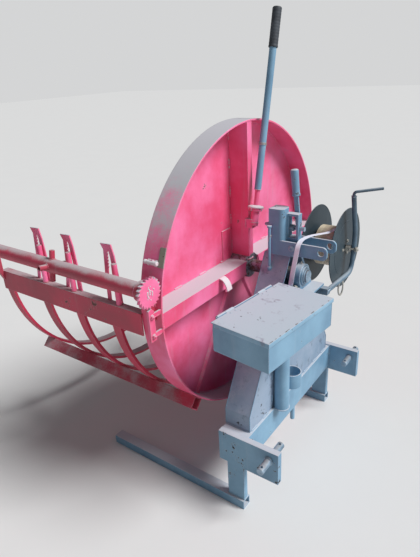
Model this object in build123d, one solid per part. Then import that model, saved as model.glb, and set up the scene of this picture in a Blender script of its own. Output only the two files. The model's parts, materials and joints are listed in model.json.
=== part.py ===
from build123d import *
import os
from math import cos, hypot, radians, sin, tan

os.makedirs("parts", exist_ok=True)

# Firewood bundler for a tractor's three-point linkage. Millimetres, +Z up.
# +X points to the tractor, so the side at -Y is the machine's right side.
# While the pieces are made, X = 0 is the free edge of the drum pan's rim, Y = 0 is the
# drum shaft and Z = 0 is the floor. All pieces are then moved along X and Y, so that
# the origin lies on the floor under the middle of the machine's outline.
# A name that ends in RISE is a height above the drum shaft.

# Fits
RUNNING_FIT = 0.05
PIN_FIT = 0.3
CUT_OVERRUN = 1.0

# Drum shaft
SHAFT_HEIGHT = 865.0
SHAFT_RADIUS = 25.0
SHAFT_FRONT_X = 248.0
SHAFT_REAR_STUB = 22.0
SHAFT_HOLE_GAP = 6.0
HUB_RADIUS = 52.0
HUB_SETBACK = 8.0

# Drum pan: round end plate with a deep rim, open towards the tractor
DRUM_RADIUS = 575.0
RIM_DEPTH = 89.0
RIM_WALL = 6.0
PAN_SHEET = 4.0
CREASE_ANGLES = [-34.0, 30.0]
CREASE_WIDTH = 26.0
CREASE_HEIGHT = 9.0
CREASE_SLOPE = 8.5
CREASE_INNER_RADIUS = 70.0
KNOB_X = -45.0
KNOB_ANGLE = 70.4
KNOB_RADIUS = 10.0
KNOB_HEIGHT = 12.0

# Members across the pan
CROSS_HEIGHT = 59.0
CROSS_MIDDLE_RISE = 2.0
UPRIGHT_WIDTH = 32.0
UPRIGHT_MIDDLE_Y = -9.0
MEMBER_WALL = 4.0
MEMBER_SETBACK = 1.0
TAB_Y = -187.0
TAB_WIDTH = 26.0
TAB_DROP = 16.0
TAB_THICKNESS = 4.0

# Cradle of half-round bars behind the pan
ARC_XS = [-230.0, -425.0, -625.0, -870.0]
ARC_WIDTH = 40.0
ARC_THICKNESS = 12.0
CHANNEL_TOP_RISE = 12.0
CHANNEL_HEIGHT = 84.0
CHANNEL_FLANGE = 32.0
CHANNEL_WALL = 5.0
RAIL_SIZE = 50.0
RAIL_WALL = 4.0
RAIL_ANGLE = 44.0
RAIL_FRONT_X = -12.0
RAIL_END_OVERHANG = 12.0

# Strap hooks and their posts on the right channel
# columns: X of the hook's front top corner, from there to its rear strip's foot, X of the post
HOOKS = [(-612.0, -66.0, -611.0), (-434.0, -68.0, -442.0), (-223.0, -50.0, -205.0)]
# columns: from the hook's front top corner along X, rise above the shaft, down a strip's edge
HOOK_FRONT_EDGE = [(0.0, 228.0), (10.0, 190.0), (18.0, 120.0)]
HOOK_REAR_EDGE = [(-38.0, 205.0), (-42.0, 150.0), (-46.0, 110.0)]
HOOK_FRONT_FOOT = 22.0
HOOK_FRONT_WIDTH = 20.0
HOOK_REAR_WIDTH = 16.0
HOOK_TIP = 50.0
HOOK_TIP_DROP = 2.0
HOOK_THICKNESS = 5.0
HOOK_TEETH = 6
HOOK_TOOTH_PITCH = 12.0
HOOK_TOOTH_DEPTH = 4.0
HOOK_TOOTH_LEAN = 1.0
POST_RADIUS = 10.0
POST_HEIGHT = 153.0
POST_HOOK_GAP = 1.0

# Windlass that pulls the straps tight
WINDLASS_OUT = 42.0
WINDLASS_RISE = 126.0
WINDLASS_RADIUS = 26.0
WINDLASS_WALL = 4.0
WINDLASS_END_OVERHANG = 12.0
EYE_WIDTH = 16.0
EYE_WALL = 8.0
EYE_FRONT_X = -40.0
EYE_FOOT_RISE = 52.0
EYE_FOOT_LAP = 20.0
SOCKET_X = -472.0
SOCKET_ANGLES = [-10.0, 80.0, 170.0, 260.0]
SOCKET_RADIUS = 10.0
SOCKET_BORE = 6.5
SOCKET_HEIGHT = 34.0
RATCHET_TEETH = 22
RATCHET_RADIUS = 53.0
RATCHET_ROOT_RADIUS = 44.0
RATCHET_TOOTH_LEAD = 2.0
RATCHET_WIDTH = 12.0
PAWL_GAP = 1.0
PAWL_SETBACK = 2.0
PAWL_WIDTH = 26.0
PAWL_LENGTH = 118.0
PAWL_OUT = 14.0
PAWL_NOSE = 6.0
PAWL_HEEL = 14.0
PAWL_LUG_DROPS = [22.0, 92.0]
PAWL_LUG_HEIGHT = 14.0

# Turning lever in its socket on the upright
LEVER_X = 30.0
LEVER_Y = -37.0
LEVER_LEAN = 13.5
LEVER_FOOT_RISE = 185.0
LEVER_FOOT_HALF = 13.0
LEVER_FOOT_DROP = 10.0
LEVER_FOOT_HEIGHT = 36.0
LEVER_HUB_RADIUS = 16.0
LEVER_ROD_RADIUS = 9.0
LEVER_ROD_LAP = 60.0
LEVER_COLLAR_RADIUS = 26.0
LEVER_COLLAR_RISE = 240.0
LEVER_COLLAR_HEIGHT = 12.0
LEVER_TUBE_RADIUS = 13.0
LEVER_TUBE_RISE = 318.0
LEVER_TOP_RISE = 940.0
LEVER_GRIP_LENGTH = 170.0
LEVER_GRIP_RADIUS = 18.0
LEVER_GRIP_END = 4.0

# Lower beam, hitch plates, legs and floor skids
BEAM_SIZE = 118.0
BEAM_WALL = 6.0
BEAM_FRONT_X = 200.0
BEAM_TOP_Z = 338.0
HITCH_WIDTH = 820.0
HITCH_PLATE = 25.0
HITCH_FRONT_X = 340.0
HITCH_TOP_Z = 342.0
HITCH_BOTTOM_Z = 205.0
LEG_FRONT_X = 192.0
LEG_REAR_X = 118.0
SKID_HEIGHT = 40.0
SKID_WIDTH = 45.0
SKID_WALL = 4.0
SKID_FRONT_X = 194.0
SKID_REAR_X = -520.0
LINK_PIN_RADIUS = 14.0
LINK_PIN_FREE = 60.0
LINK_PIN_INNER = 70.0
LINK_COLLAR = 5.0
LINK_COLLAR_RADIUS = 18.0
LINK_PIN_X = 302.0
LINK_PIN_Z = 303.0
LINCH_HOLE_RADIUS = 5.5
LINCH_HOLE_INSET = 12.0

# Tower: tapered sheet box on the beam, open to the front round the shaft
TOWER_SHEET = 6.0
TOWER_FRONT_SETBACK = 10.0
TOWER_FOOT_HALF = 355.0
TOWER_FOOT_HEIGHT = 70.0
TOWER_TOP_HALF = 42.0
TOWER_TOP_RISE = 90.0

# Bearings and the front bearing's shelf
BEARING_X = 218.0
BEARING_WIDTH = 38.0
BEARING_STEP = 6.0
BEARING_RADIUS = 46.0
BEARING_NOSE_RADIUS = 37.0
BEARING_BASE = 52.0
BEARING_FOOT_HALF = 65.0
BEARING_FOOT_HEIGHT = 14.0
BEARING_WEB_HALF = 34.0
SHELF_HALF = 80.0
SHELF_FRONT_X = 280.0
SHELF_THICKNESS = 8.0
REAR_BEARING_RADIUS = 62.0
REAR_BEARING_NOSE_RADIUS = 44.0
REAR_BEARING_FLANGE = 9.0
REAR_BEARING_WIDTH = 18.0

# Top link bracket: base plate, post and two arms
BRACKET_BASE = 7.0
BRACKET_REAR_X = 105.0
BRACKET_BASE_FRONT_X = 205.0
ARM_RIGHT_Y = -55.0
ARM_LEFT_Y = 38.0
ARM_PLATE = 8.0
ARM_HEIGHT = 50.0
ARM_FRONT_X = 340.0
ARM_CORNER = 18.0
POST_FRONT_X = 165.0
POST_LEFT_Y = 5.0
POST_TOP_RISE = 266.0
POST_WALL = 6.0
POST_CORNER = 18.0
TOP_LINK_PIN_RADIUS = 12.75
TOP_LINK_X = 316.0
TOP_LINK_RISE = 124.0

# Drum lock: bolt in its guide frame, and the lever that draws it back
GUIDE_FRONT_X = 212.0
GUIDE_BOTTOM_RISE = 147.0
GUIDE_TOP_RISE = 246.0
GUIDE_BAR = 8.0
GUIDE_HALF_DEPTH = 15.0
LOCK_BOLT_Y = -10.0
LOCK_BOLT_RISE = 190.0
LOCK_BOLT_RADIUS = 8.5
LOCK_BOLT_TIP_X = 66.0
LOCK_BOLT_TIP_LENGTH = 12.0
LOCK_BOLT_TIP_RADIUS = 5.0
LOCK_BOLT_REAR_X = 232.0
LOCK_LEVER_Y = 12.0
LOCK_LEVER_THICKNESS = 8.0
LOCK_LEVER_WIDTH = 18.0
LOCK_PIVOT_X = 200.0
LOCK_PIVOT_RISE = 123.0
LOCK_PIVOT_RADIUS = 6.0
LOCK_PIVOT_OVERHANG = 6.0
LOCK_DRIVE_RADIUS = 4.0
LOCK_LEVER_HEEL = 12.0
LOCK_LEVER_TOP_X = 172.0
LOCK_GRIP_RISE = 305.0
LOCK_GRIP_LENGTH = 98.0
LOCK_GRIP_RADIUS = 15.0
LOCK_GRIP_END = 5.0

# Upright pin on the tower's right wall
UPRIGHT_PIN_X = 118.0
UPRIGHT_PIN_Y = -73.0
UPRIGHT_PIN_RADIUS = 5.5
UPRIGHT_PIN_TOP_RISE = 200.0
UPRIGHT_PIN_HEAD_RADIUS = 9.0
UPRIGHT_PIN_HEAD_HEIGHT = 6.0
UPRIGHT_PIN_FOOT_RISE = 36.0
UPRIGHT_PIN_FOOT_RADIUS = 10.0

# Strap bin beside the tower: a lidded sheet box on a post
BIN_X = 284.3
BIN_Y = -339.6
BIN_TOP_RISE = 18.0
BIN_WIDTH = 224.6
BIN_LENGTH = 378.0
BIN_HEIGHT = 105.9
BIN_TURN = -6.4
BIN_SHEET = 3.0
LID_SHEET = 3.0
LID_SIDE_GAP = 1.0
LID_SEAT_GAP = 0.3
LID_LIP = 14.0
LID_LIP_CUTBACK = 14.0
HINGE_OUT = 8.0
HINGE_ROD_RADIUS = 3.0
HINGE_KNUCKLE_RADIUS = 6.0
HINGE_KNUCKLE_LENGTH = 40.0
HINGE_LEAF = 3.0
HINGE_LEAF_DROP = 30.0
HINGE_ROD_HALF = 154.0
# columns: middle of the knuckle along the hinge, True if it belongs to the lid
HINGE_KNUCKLES = [(-130.0, False), (-89.0, True), (89.0, True), (130.0, False)]
BIN_POST_RADIUS = 30.0
BIN_POST_WALL = 4.0
BIN_POST_Y = -152.0
BIN_SEAT_THICKNESS = 8.0
BIN_SEAT_LENGTH = 270.0
WELD_FLAT = 1.5
HOLDER_RADIUS = 39.0
HOLDER_WALL = 4.0
HOLDER_Y = -83.0
HOLDER_TOP_Z = 473.0
HOLDER_HEIGHT = 63.0
STUB_X = 186.0
STUB_Y = 18.0
STUB_RADIUS = 10.0
STUB_LENGTH = 75.0

# Strap reel on its arm at the left side
REEL_X = 130.0
REEL_Y = 335.0
REEL_RISE = 11.0
REEL_RADIUS = 172.0
REEL_FLANGE = 3.0
REEL_WIDTH = 136.0
REEL_CORE_RADIUS = 48.0
REEL_CORE_WALL = 3.0
ROLL_RADIUS = 88.0
ROLL_END_GAP = 20.0
AXLE_RADIUS = 10.0
AXLE_REAR_OVERHANG = 18.0
AXLE_COLLAR_RADIUS = 14.0
AXLE_COLLAR_GAP = 4.0
AXLE_SPIGOT_RADIUS = 5.0
AXLE_NUT_RADIUS = 11.0
AXLE_NUT_HEIGHT = 8.0
REEL_ARM_X = 300.0
REEL_ARM_RADIUS = 10.0
# columns: Y, rise above the shaft, along the arm's middle line
REEL_ARM_POINTS = [(58.0, -76.0), (328.0, -90.0), (343.0, 8.0), (346.0, 85.0), (300.0, 250.0)]
REEL_ARM_FOOT_HALF = 14.0
REEL_ARM_FOOT_LAP = 30.0
REEL_ARM_FOOT_DEPTH = 10.0
GUIDE_ROD_RADIUS = 6.0
# columns: X, Y, rise above the shaft, from inside the arm's top end
GUIDE_ROD_POINTS = [(300.0, 303.0, 240.0), (300.0, 295.0, 268.0), (400.0, 352.0, 280.0)]

# Free end of the strap, from the roll over the bracket's arms
STRAP_WIDTH = 18.0
STRAP_THICKNESS = 1.6
STRAP_X = 234.0
STRAP_HANG_TILT = 3.0
STRAP_ROLL_GAP = 0.6
# columns: Y, rise above the shaft, from the roll's edge to where it hangs down
STRAP_OVER_POINTS = [(235.0, 106.0), (122.0, 133.0), (20.0, 155.0), (-64.0, 161.0)]
# columns: Y, rise above the shaft, down to the strap's cut end
STRAP_HANG_POINTS = [(-82.0, 94.0), (-99.0, 34.0), (-110.0, -18.0)]
STRAP_ARC_SHARE = 0.45

# Places that follow from the values above
PLATE_X = -RIM_DEPTH
PAN_FLOOR_X = PLATE_X + PAN_SHEET
RIM_INNER = DRUM_RADIUS - RIM_WALL
CRADLE_END_X = ARC_XS[-1] - ARC_WIDTH / 2
CHANNEL_OUTER = DRUM_RADIUS + CHANNEL_WALL
CHANNEL_TOP_Z = SHAFT_HEIGHT + CHANNEL_TOP_RISE
CROSS_LOW_Z = SHAFT_HEIGHT + CROSS_MIDDLE_RISE - CROSS_HEIGHT / 2
HOOK_INNER_Y = -CHANNEL_OUTER + CHANNEL_FLANGE
HOOK_OUTER_Y = HOOK_INNER_Y - HOOK_THICKNESS
WINDLASS_Y = -DRUM_RADIUS - WINDLASS_OUT
WINDLASS_Z = SHAFT_HEIGHT + WINDLASS_RISE
BEAM_REAR_X = BEAM_FRONT_X - BEAM_SIZE
BEAM_BOTTOM_Z = BEAM_TOP_Z - BEAM_SIZE
HITCH_OUTER = HITCH_WIDTH / 2
HITCH_INNER = HITCH_OUTER - HITCH_PLATE
TOWER_FRONT_X = BEAM_FRONT_X - TOWER_FRONT_SETBACK
TOWER_TOP_Z = SHAFT_HEIGHT + TOWER_TOP_RISE
SHELF_TOP_Z = SHAFT_HEIGHT - BEARING_BASE
ARM_BOTTOM_Z = TOWER_TOP_Z + BRACKET_BASE
ARM_TOP_Z = ARM_BOTTOM_Z + ARM_HEIGHT
LOCK_BOLT_Z = SHAFT_HEIGHT + LOCK_BOLT_RISE
LOCK_PIVOT_Z = SHAFT_HEIGHT + LOCK_PIVOT_RISE
TOP_LINK_Z = SHAFT_HEIGHT + TOP_LINK_RISE
BIN_TOP_Z = SHAFT_HEIGHT + BIN_TOP_RISE
BIN_BOTTOM_Z = BIN_TOP_Z - BIN_HEIGHT
REEL_Z = SHAFT_HEIGHT + REEL_RISE
REEL_FRONT_X = REEL_X + REEL_WIDTH


def block(x0, x1, y0, y1, z0, z1):
    """Box between its low and high corners."""
    size = Box(x1 - x0, y1 - y0, z1 - z0, align=(Align.MIN, Align.MIN, Align.MIN))
    return Pos(x0, y0, z0) * size


def rod(start, end, radius):
    """Round bar from one point to another."""
    start = Vector(*start)
    axis = Vector(*end) - start
    plane = Plane(origin=start, z_dir=axis)
    return plane * Cylinder(radius, axis.length, align=(Align.CENTER, Align.CENTER, Align.MIN))


def pipe(start, end, radius, wall):
    """Round tube from one point to another, open at both ends."""
    return rod(start, end, radius) - rod(start, end, radius - wall)


def plate_across(points, x0, x1):
    """Plate with an outline of (y, z) points, between two X positions."""
    face = make_face(Polyline(*[(0, y, z) for y, z in points], close=True))
    return extrude(Pos(x0, 0, 0) * face, x1 - x0, dir=(1, 0, 0))


def plate_along(points, y0, y1):
    """Plate with an outline of (x, z) points, between two Y positions."""
    face = make_face(Polyline(*[(x, 0, z) for x, z in points], close=True))
    return extrude(Pos(0, y0, 0) * face, y1 - y0, dir=(0, 1, 0))


def bar_about_shaft(radius, x0, x1):
    """Round bar on the drum shaft's axis between two X positions."""
    return rod((x0, 0, SHAFT_HEIGHT), (x1, 0, SHAFT_HEIGHT), radius)


def ring_about_shaft(outer, inner, x0, x1):
    """Ring on the drum shaft's axis between two X positions."""
    return bar_about_shaft(outer, x0, x1) - bar_about_shaft(inner, x0, x1)


def on_side(piece, side):
    """Piece made on the left side, or its mirror image on the right side."""
    return piece if side > 0 else mirror(piece, about=Plane.XZ)


def eased_path(points):
    """Straight runs joined by arcs as large as the runs allow, with the arcs' radii."""
    corners = [Vector(*point) for point in points]
    radii = []
    for before, corner, after in zip(corners, corners[1:], corners[2:]):
        half_turn = radians((corner - before).get_angle(after - corner)) / 2
        shorter = min((corner - before).length, (after - corner).length)
        radii.append(STRAP_ARC_SHARE * shorter / tan(half_turn))
    return FilletPolyline(*corners, radius=radii), radii


def round_bar_along(points, radius):
    """Round bar along straight runs joined by arcs."""
    path, _ = eased_path(points)
    section = Plane(origin=path @ 0, z_dir=path % 0) * Circle(radius)
    return sweep(section, path=path)


# Drum body


def make_drum_shaft():
    """Shaft with the hub sleeve that the pan's members are welded to."""
    shaft = bar_about_shaft(SHAFT_RADIUS, PLATE_X - SHAFT_REAR_STUB, SHAFT_FRONT_X)
    return shaft + ring_about_shaft(HUB_RADIUS, SHAFT_RADIUS, PAN_FLOOR_X, -HUB_SETBACK)


def make_pan_plate():
    """Round end plate with pressed radial creases in its lower half."""
    plate = ring_about_shaft(RIM_INNER, SHAFT_RADIUS, PLATE_X, PAN_FLOOR_X)
    for angle in CREASE_ANGLES:
        ridge = block(
            PAN_FLOOR_X,
            PAN_FLOOR_X + CREASE_HEIGHT,
            -CREASE_WIDTH / 2,
            CREASE_WIDTH / 2,
            -RIM_INNER,
            -CREASE_INNER_RADIUS,
        )
        ridge = chamfer(ridge.edges().filter_by(Axis.Z).group_by(Axis.X)[-1], CREASE_SLOPE)
        ridge = Pos(0, 0, SHAFT_HEIGHT) * Rot(angle, 0, 0) * ridge
        plate += ridge & bar_about_shaft(RIM_INNER, PLATE_X, 0)
    return plate


def make_pan_rim():
    """Deep rim rolled round the end plate, with a round knob on its right side."""
    rim = ring_about_shaft(DRUM_RADIUS, RIM_INNER, PLATE_X, 0)
    knob = Pos(0, 0, DRUM_RADIUS - RIM_WALL / 2) * Cylinder(
        KNOB_RADIUS, KNOB_HEIGHT + RIM_WALL / 2, align=(Align.CENTER, Align.CENTER, Align.MIN)
    )
    return rim + Pos(KNOB_X, 0, SHAFT_HEIGHT) * Rot(KNOB_ANGLE, 0, 0) * knob


def make_cross_member():
    """Level box member from rim to rim, cut round the hub, with a small tab below it."""
    high = CROSS_LOW_Z + CROSS_HEIGHT
    front = -MEMBER_SETBACK
    outer = block(PAN_FLOOR_X, front, -DRUM_RADIUS, DRUM_RADIUS, CROSS_LOW_Z, high)
    inner = block(
        PAN_FLOOR_X,
        front - MEMBER_WALL,
        -DRUM_RADIUS,
        DRUM_RADIUS,
        CROSS_LOW_Z + MEMBER_WALL,
        high - MEMBER_WALL,
    )
    member = (outer - inner) & ring_about_shaft(RIM_INNER, HUB_RADIUS, PAN_FLOOR_X, 0)
    tab = block(
        front - TAB_THICKNESS,
        front,
        TAB_Y - TAB_WIDTH / 2,
        TAB_Y + TAB_WIDTH / 2,
        CROSS_LOW_Z - TAB_DROP,
        CROSS_LOW_Z,
    )
    return member + tab


def make_upright_member():
    """Box member from the level member up to the rim's top."""
    low = CROSS_LOW_Z + CROSS_HEIGHT
    left = UPRIGHT_MIDDLE_Y - UPRIGHT_WIDTH / 2
    right = UPRIGHT_MIDDLE_Y + UPRIGHT_WIDTH / 2
    top = SHAFT_HEIGHT + DRUM_RADIUS
    front = -MEMBER_SETBACK
    outer = block(PAN_FLOOR_X, front, left, right, low, top)
    inner = block(
        PAN_FLOOR_X, front - MEMBER_WALL, left + MEMBER_WALL, right - MEMBER_WALL, low, top
    )
    return (outer - inner) & ring_about_shaft(RIM_INNER, HUB_RADIUS, PAN_FLOOR_X, 0)


def make_arc(x):
    """Half-round flat bar of the cradle, open upwards."""
    x0 = x - ARC_WIDTH / 2
    x1 = x + ARC_WIDTH / 2
    ring = ring_about_shaft(DRUM_RADIUS, DRUM_RADIUS - ARC_THICKNESS, x0, x1)
    low = SHAFT_HEIGHT - DRUM_RADIUS
    top = CHANNEL_TOP_Z - CHANNEL_WALL
    return ring & block(x0, x1, -DRUM_RADIUS, DRUM_RADIUS, low, top)


def make_side_channel(side):
    """Channel along one side of the cradle, its web outside the half-round bars."""
    low = CHANNEL_TOP_Z - CHANNEL_HEIGHT
    web = block(CRADLE_END_X, PLATE_X, DRUM_RADIUS, CHANNEL_OUTER, low, CHANNEL_TOP_Z)
    flange = block(
        CRADLE_END_X,
        PLATE_X,
        CHANNEL_OUTER - CHANNEL_FLANGE,
        CHANNEL_OUTER,
        CHANNEL_TOP_Z - CHANNEL_WALL,
        CHANNEL_TOP_Z,
    )
    return on_side(web + flange, side)


def make_bottom_rail(side):
    """Square tube under the half-round bars, open at its ends."""
    half = RAIL_SIZE / 2
    inner_half = half - RAIL_WALL
    rear = CRADLE_END_X - RAIL_END_OVERHANG
    low = -DRUM_RADIUS - RAIL_SIZE
    outer = block(rear, RAIL_FRONT_X, -half, half, low, -DRUM_RADIUS)
    inner = block(
        rear, RAIL_FRONT_X, -inner_half, inner_half, low + RAIL_WALL, -DRUM_RADIUS - RAIL_WALL
    )
    return Pos(0, 0, SHAFT_HEIGHT) * Rot(side * RAIL_ANGLE, 0, 0) * (outer - inner)


def hook_piece(corner_x, points):
    """Flat piece of a hook from (X from its front top corner, rise) points."""
    return plate_along(
        [(corner_x + x, SHAFT_HEIGHT + rise) for x, rise in points], HOOK_OUTER_Y, HOOK_INNER_Y
    )


def make_strap_hook(corner_x, rear_foot):
    """Two strips that lean together under a pointed cap, one with saw teeth on its inner edge."""
    front = HOOK_FRONT_EDGE + [(HOOK_FRONT_FOOT, CHANNEL_TOP_RISE)]
    front += [(x - HOOK_FRONT_WIDTH, rise) for x, rise in reversed(front)]
    rear = HOOK_REAR_EDGE + [(rear_foot, CHANNEL_TOP_RISE)]
    rear += [(x + HOOK_REAR_WIDTH, rise) for x, rise in reversed(rear)]
    corner, top = HOOK_FRONT_EDGE[0]
    rear_x, rear_top = HOOK_REAR_EDGE[0]
    cap = [
        (corner, top),
        (corner - HOOK_TIP, top - HOOK_TIP_DROP),
        (rear_x, rear_top),
        (corner, rear_top),
    ]
    hook = hook_piece(corner_x, front) + hook_piece(corner_x, rear) + hook_piece(corner_x, cap)
    root_x = rear_x + HOOK_REAR_WIDTH
    for tooth in range(HOOK_TEETH):
        high = rear_top - HOOK_TOOTH_PITCH * tooth
        x = root_x - HOOK_TOOTH_LEAN * tooth
        hook += hook_piece(
            corner_x,
            [
                (x - HOOK_REAR_WIDTH / 2, high),
                (x + HOOK_TOOTH_DEPTH, high),
                (x - HOOK_TOOTH_LEAN, high - HOOK_TOOTH_PITCH),
                (x - HOOK_REAR_WIDTH / 2, high - HOOK_TOOTH_PITCH),
            ],
        )
    return hook


def make_hook_posts():
    """Upright round post beside each hook."""
    y = HOOK_OUTER_Y - POST_HOOK_GAP - POST_RADIUS
    top = CHANNEL_TOP_Z + POST_HEIGHT
    return Compound([rod((x, y, CHANNEL_TOP_Z), (x, y, top), POST_RADIUS) for _, _, x in HOOKS])


def windlass_eye(x0, inner_y):
    """Eye round the windlass tube with a foot that reaches in to what carries it."""
    x1 = x0 + EYE_WIDTH
    radius = WINDLASS_RADIUS + EYE_WALL
    foot = plate_across(
        [
            (WINDLASS_Y - radius, WINDLASS_Z),
            (inner_y, CHANNEL_TOP_Z - CHANNEL_HEIGHT / 2),
            (inner_y, CHANNEL_TOP_Z + EYE_FOOT_RISE),
            (WINDLASS_Y + radius, WINDLASS_Z),
        ],
        x0,
        x1,
    )
    eye = rod((x0, WINDLASS_Y, WINDLASS_Z), (x1, WINDLASS_Y, WINDLASS_Z), radius)
    hole = rod(
        (x0 - CUT_OVERRUN, WINDLASS_Y, WINDLASS_Z),
        (x1 + CUT_OVERRUN, WINDLASS_Y, WINDLASS_Z),
        WINDLASS_RADIUS + RUNNING_FIT,
    )
    return foot + eye - hole


def make_windlass_eyes():
    """Eyes that carry the windlass at the rim and at the cradle's end."""
    rear = windlass_eye(CRADLE_END_X, -CHANNEL_OUTER)
    front = windlass_eye(EYE_FRONT_X, -DRUM_RADIUS + EYE_FOOT_LAP)
    return Compound([rear, front - bar_about_shaft(DRUM_RADIUS, PLATE_X, CUT_OVERRUN)])


def make_windlass_tube():
    """Windlass tube with four short sockets for the tightening bar."""
    rear = CRADLE_END_X - WINDLASS_END_OVERHANG
    tube = pipe(
        (rear, WINDLASS_Y, WINDLASS_Z),
        (-RATCHET_WIDTH, WINDLASS_Y, WINDLASS_Z),
        WINDLASS_RADIUS,
        WINDLASS_WALL,
    )
    align = (Align.CENTER, Align.CENTER, Align.MIN)
    socket = Cylinder(SOCKET_RADIUS, SOCKET_HEIGHT, align=align)
    socket -= Pos(0, 0, WINDLASS_WALL) * Cylinder(SOCKET_BORE, SOCKET_HEIGHT, align=align)
    for angle in SOCKET_ANGLES:
        place = Pos(SOCKET_X, WINDLASS_Y, WINDLASS_Z) * Rot(angle, 0, 0)
        tube += place * Pos(0, 0, WINDLASS_RADIUS - WINDLASS_WALL / 2) * socket
    return tube


def make_ratchet_wheel():
    """Saw-toothed ratchet wheel welded on the windlass tube's front end."""
    points = []
    for tooth in range(RATCHET_TEETH):
        start = 360.0 / RATCHET_TEETH * tooth
        corners = ((start, RATCHET_ROOT_RADIUS), (start + RATCHET_TOOTH_LEAD, RATCHET_RADIUS))
        for angle, radius in corners:
            turn = radians(angle)
            points.append((WINDLASS_Y + radius * sin(turn), WINDLASS_Z + radius * cos(turn)))
    return plate_across(points, -RATCHET_WIDTH, 0)


def make_pawl():
    """Pawl bar under the ratchet wheel with its two lugs on the rim."""
    top = WINDLASS_Z - RATCHET_RADIUS - PAWL_GAP
    outer_y = WINDLASS_Y - PAWL_OUT
    inner_y = outer_y + PAWL_WIDTH
    x0 = PAWL_SETBACK - RATCHET_WIDTH
    pawl = plate_across(
        [
            (outer_y, top - PAWL_NOSE),
            (WINDLASS_Y, top),
            (inner_y, top - PAWL_HEEL),
            (inner_y, top - PAWL_LENGTH),
            (outer_y, top - PAWL_LENGTH),
        ],
        x0,
        -PAWL_SETBACK,
    )
    for drop in PAWL_LUG_DROPS:
        pawl += block(
            x0,
            -PAWL_SETBACK,
            WINDLASS_Y,
            -DRUM_RADIUS + EYE_FOOT_LAP,
            top - drop - PAWL_LUG_HEIGHT,
            top - drop,
        )
    return pawl - bar_about_shaft(DRUM_RADIUS, PLATE_X, CUT_OVERRUN)


def lever_point(rise):
    """Point of the turning lever's axis at a height above the shaft."""
    y = LEVER_Y + (rise - LEVER_FOOT_RISE) * tan(radians(LEVER_LEAN))
    return (LEVER_X, y, SHAFT_HEIGHT + rise)


def make_lever_socket():
    """Stub rod with its collar, on a foot welded to the upright."""
    foot_low = SHAFT_HEIGHT + LEVER_FOOT_RISE - LEVER_FOOT_DROP
    foot = block(
        -MEMBER_SETBACK,
        LEVER_X,
        LEVER_Y - LEVER_FOOT_HALF,
        UPRIGHT_MIDDLE_Y,
        foot_low,
        foot_low + LEVER_FOOT_HEIGHT,
    )
    foot_point = lever_point(LEVER_FOOT_RISE)
    collar_point = lever_point(LEVER_COLLAR_RISE)
    hub = rod(foot_point, collar_point, LEVER_HUB_RADIUS)
    collar_top = lever_point(LEVER_COLLAR_RISE + LEVER_COLLAR_HEIGHT)
    collar = rod(collar_point, collar_top, LEVER_COLLAR_RADIUS)
    stub = rod(foot_point, lever_point(LEVER_TUBE_RISE + LEVER_ROD_LAP), LEVER_ROD_RADIUS)
    return foot + hub + collar + stub


def make_turning_lever():
    """Long tube slipped over the stub rod."""
    start = lever_point(LEVER_TUBE_RISE)
    end = lever_point(LEVER_TOP_RISE - LEVER_GRIP_END)
    return pipe(start, end, LEVER_TUBE_RADIUS, LEVER_TUBE_RADIUS - LEVER_ROD_RADIUS - PIN_FIT)


def make_lever_grip():
    """Rubber grip at the turning lever's top."""
    start = lever_point(LEVER_TOP_RISE - LEVER_GRIP_LENGTH)
    sleeve = rod(start, lever_point(LEVER_TOP_RISE), LEVER_GRIP_RADIUS)
    return sleeve - rod(start, lever_point(LEVER_TOP_RISE - LEVER_GRIP_END), LEVER_TUBE_RADIUS)


# Standing frame


def make_lower_beam():
    """Square tube between the hitch plates, with a round stub below it."""
    outer = block(BEAM_REAR_X, BEAM_FRONT_X, -HITCH_INNER, HITCH_INNER, BEAM_BOTTOM_Z, BEAM_TOP_Z)
    inner = block(
        BEAM_REAR_X + BEAM_WALL,
        BEAM_FRONT_X - BEAM_WALL,
        -HITCH_INNER,
        HITCH_INNER,
        BEAM_BOTTOM_Z + BEAM_WALL,
        BEAM_TOP_Z - BEAM_WALL,
    )
    stub_foot = (STUB_X, STUB_Y, BEAM_BOTTOM_Z - STUB_LENGTH)
    return outer - inner + rod(stub_foot, (STUB_X, STUB_Y, BEAM_BOTTOM_Z), STUB_RADIUS)


def make_hitch_plate(side):
    """Hitch plate with its leg, from the beam down to the skid."""
    plate = plate_along(
        [
            (BEAM_REAR_X, HITCH_TOP_Z),
            (HITCH_FRONT_X, HITCH_TOP_Z),
            (HITCH_FRONT_X, HITCH_BOTTOM_Z),
            (LEG_FRONT_X, HITCH_BOTTOM_Z),
            (LEG_FRONT_X, SKID_HEIGHT),
            (LEG_REAR_X, SKID_HEIGHT),
            (LEG_REAR_X, HITCH_BOTTOM_Z),
            (BEAM_REAR_X, HITCH_BOTTOM_Z),
        ],
        HITCH_INNER,
        HITCH_OUTER,
    )
    plate -= rod(
        (LINK_PIN_X, HITCH_INNER - CUT_OVERRUN, LINK_PIN_Z),
        (LINK_PIN_X, HITCH_OUTER + CUT_OVERRUN, LINK_PIN_Z),
        LINK_PIN_RADIUS,
    )
    return on_side(plate, side)


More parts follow.
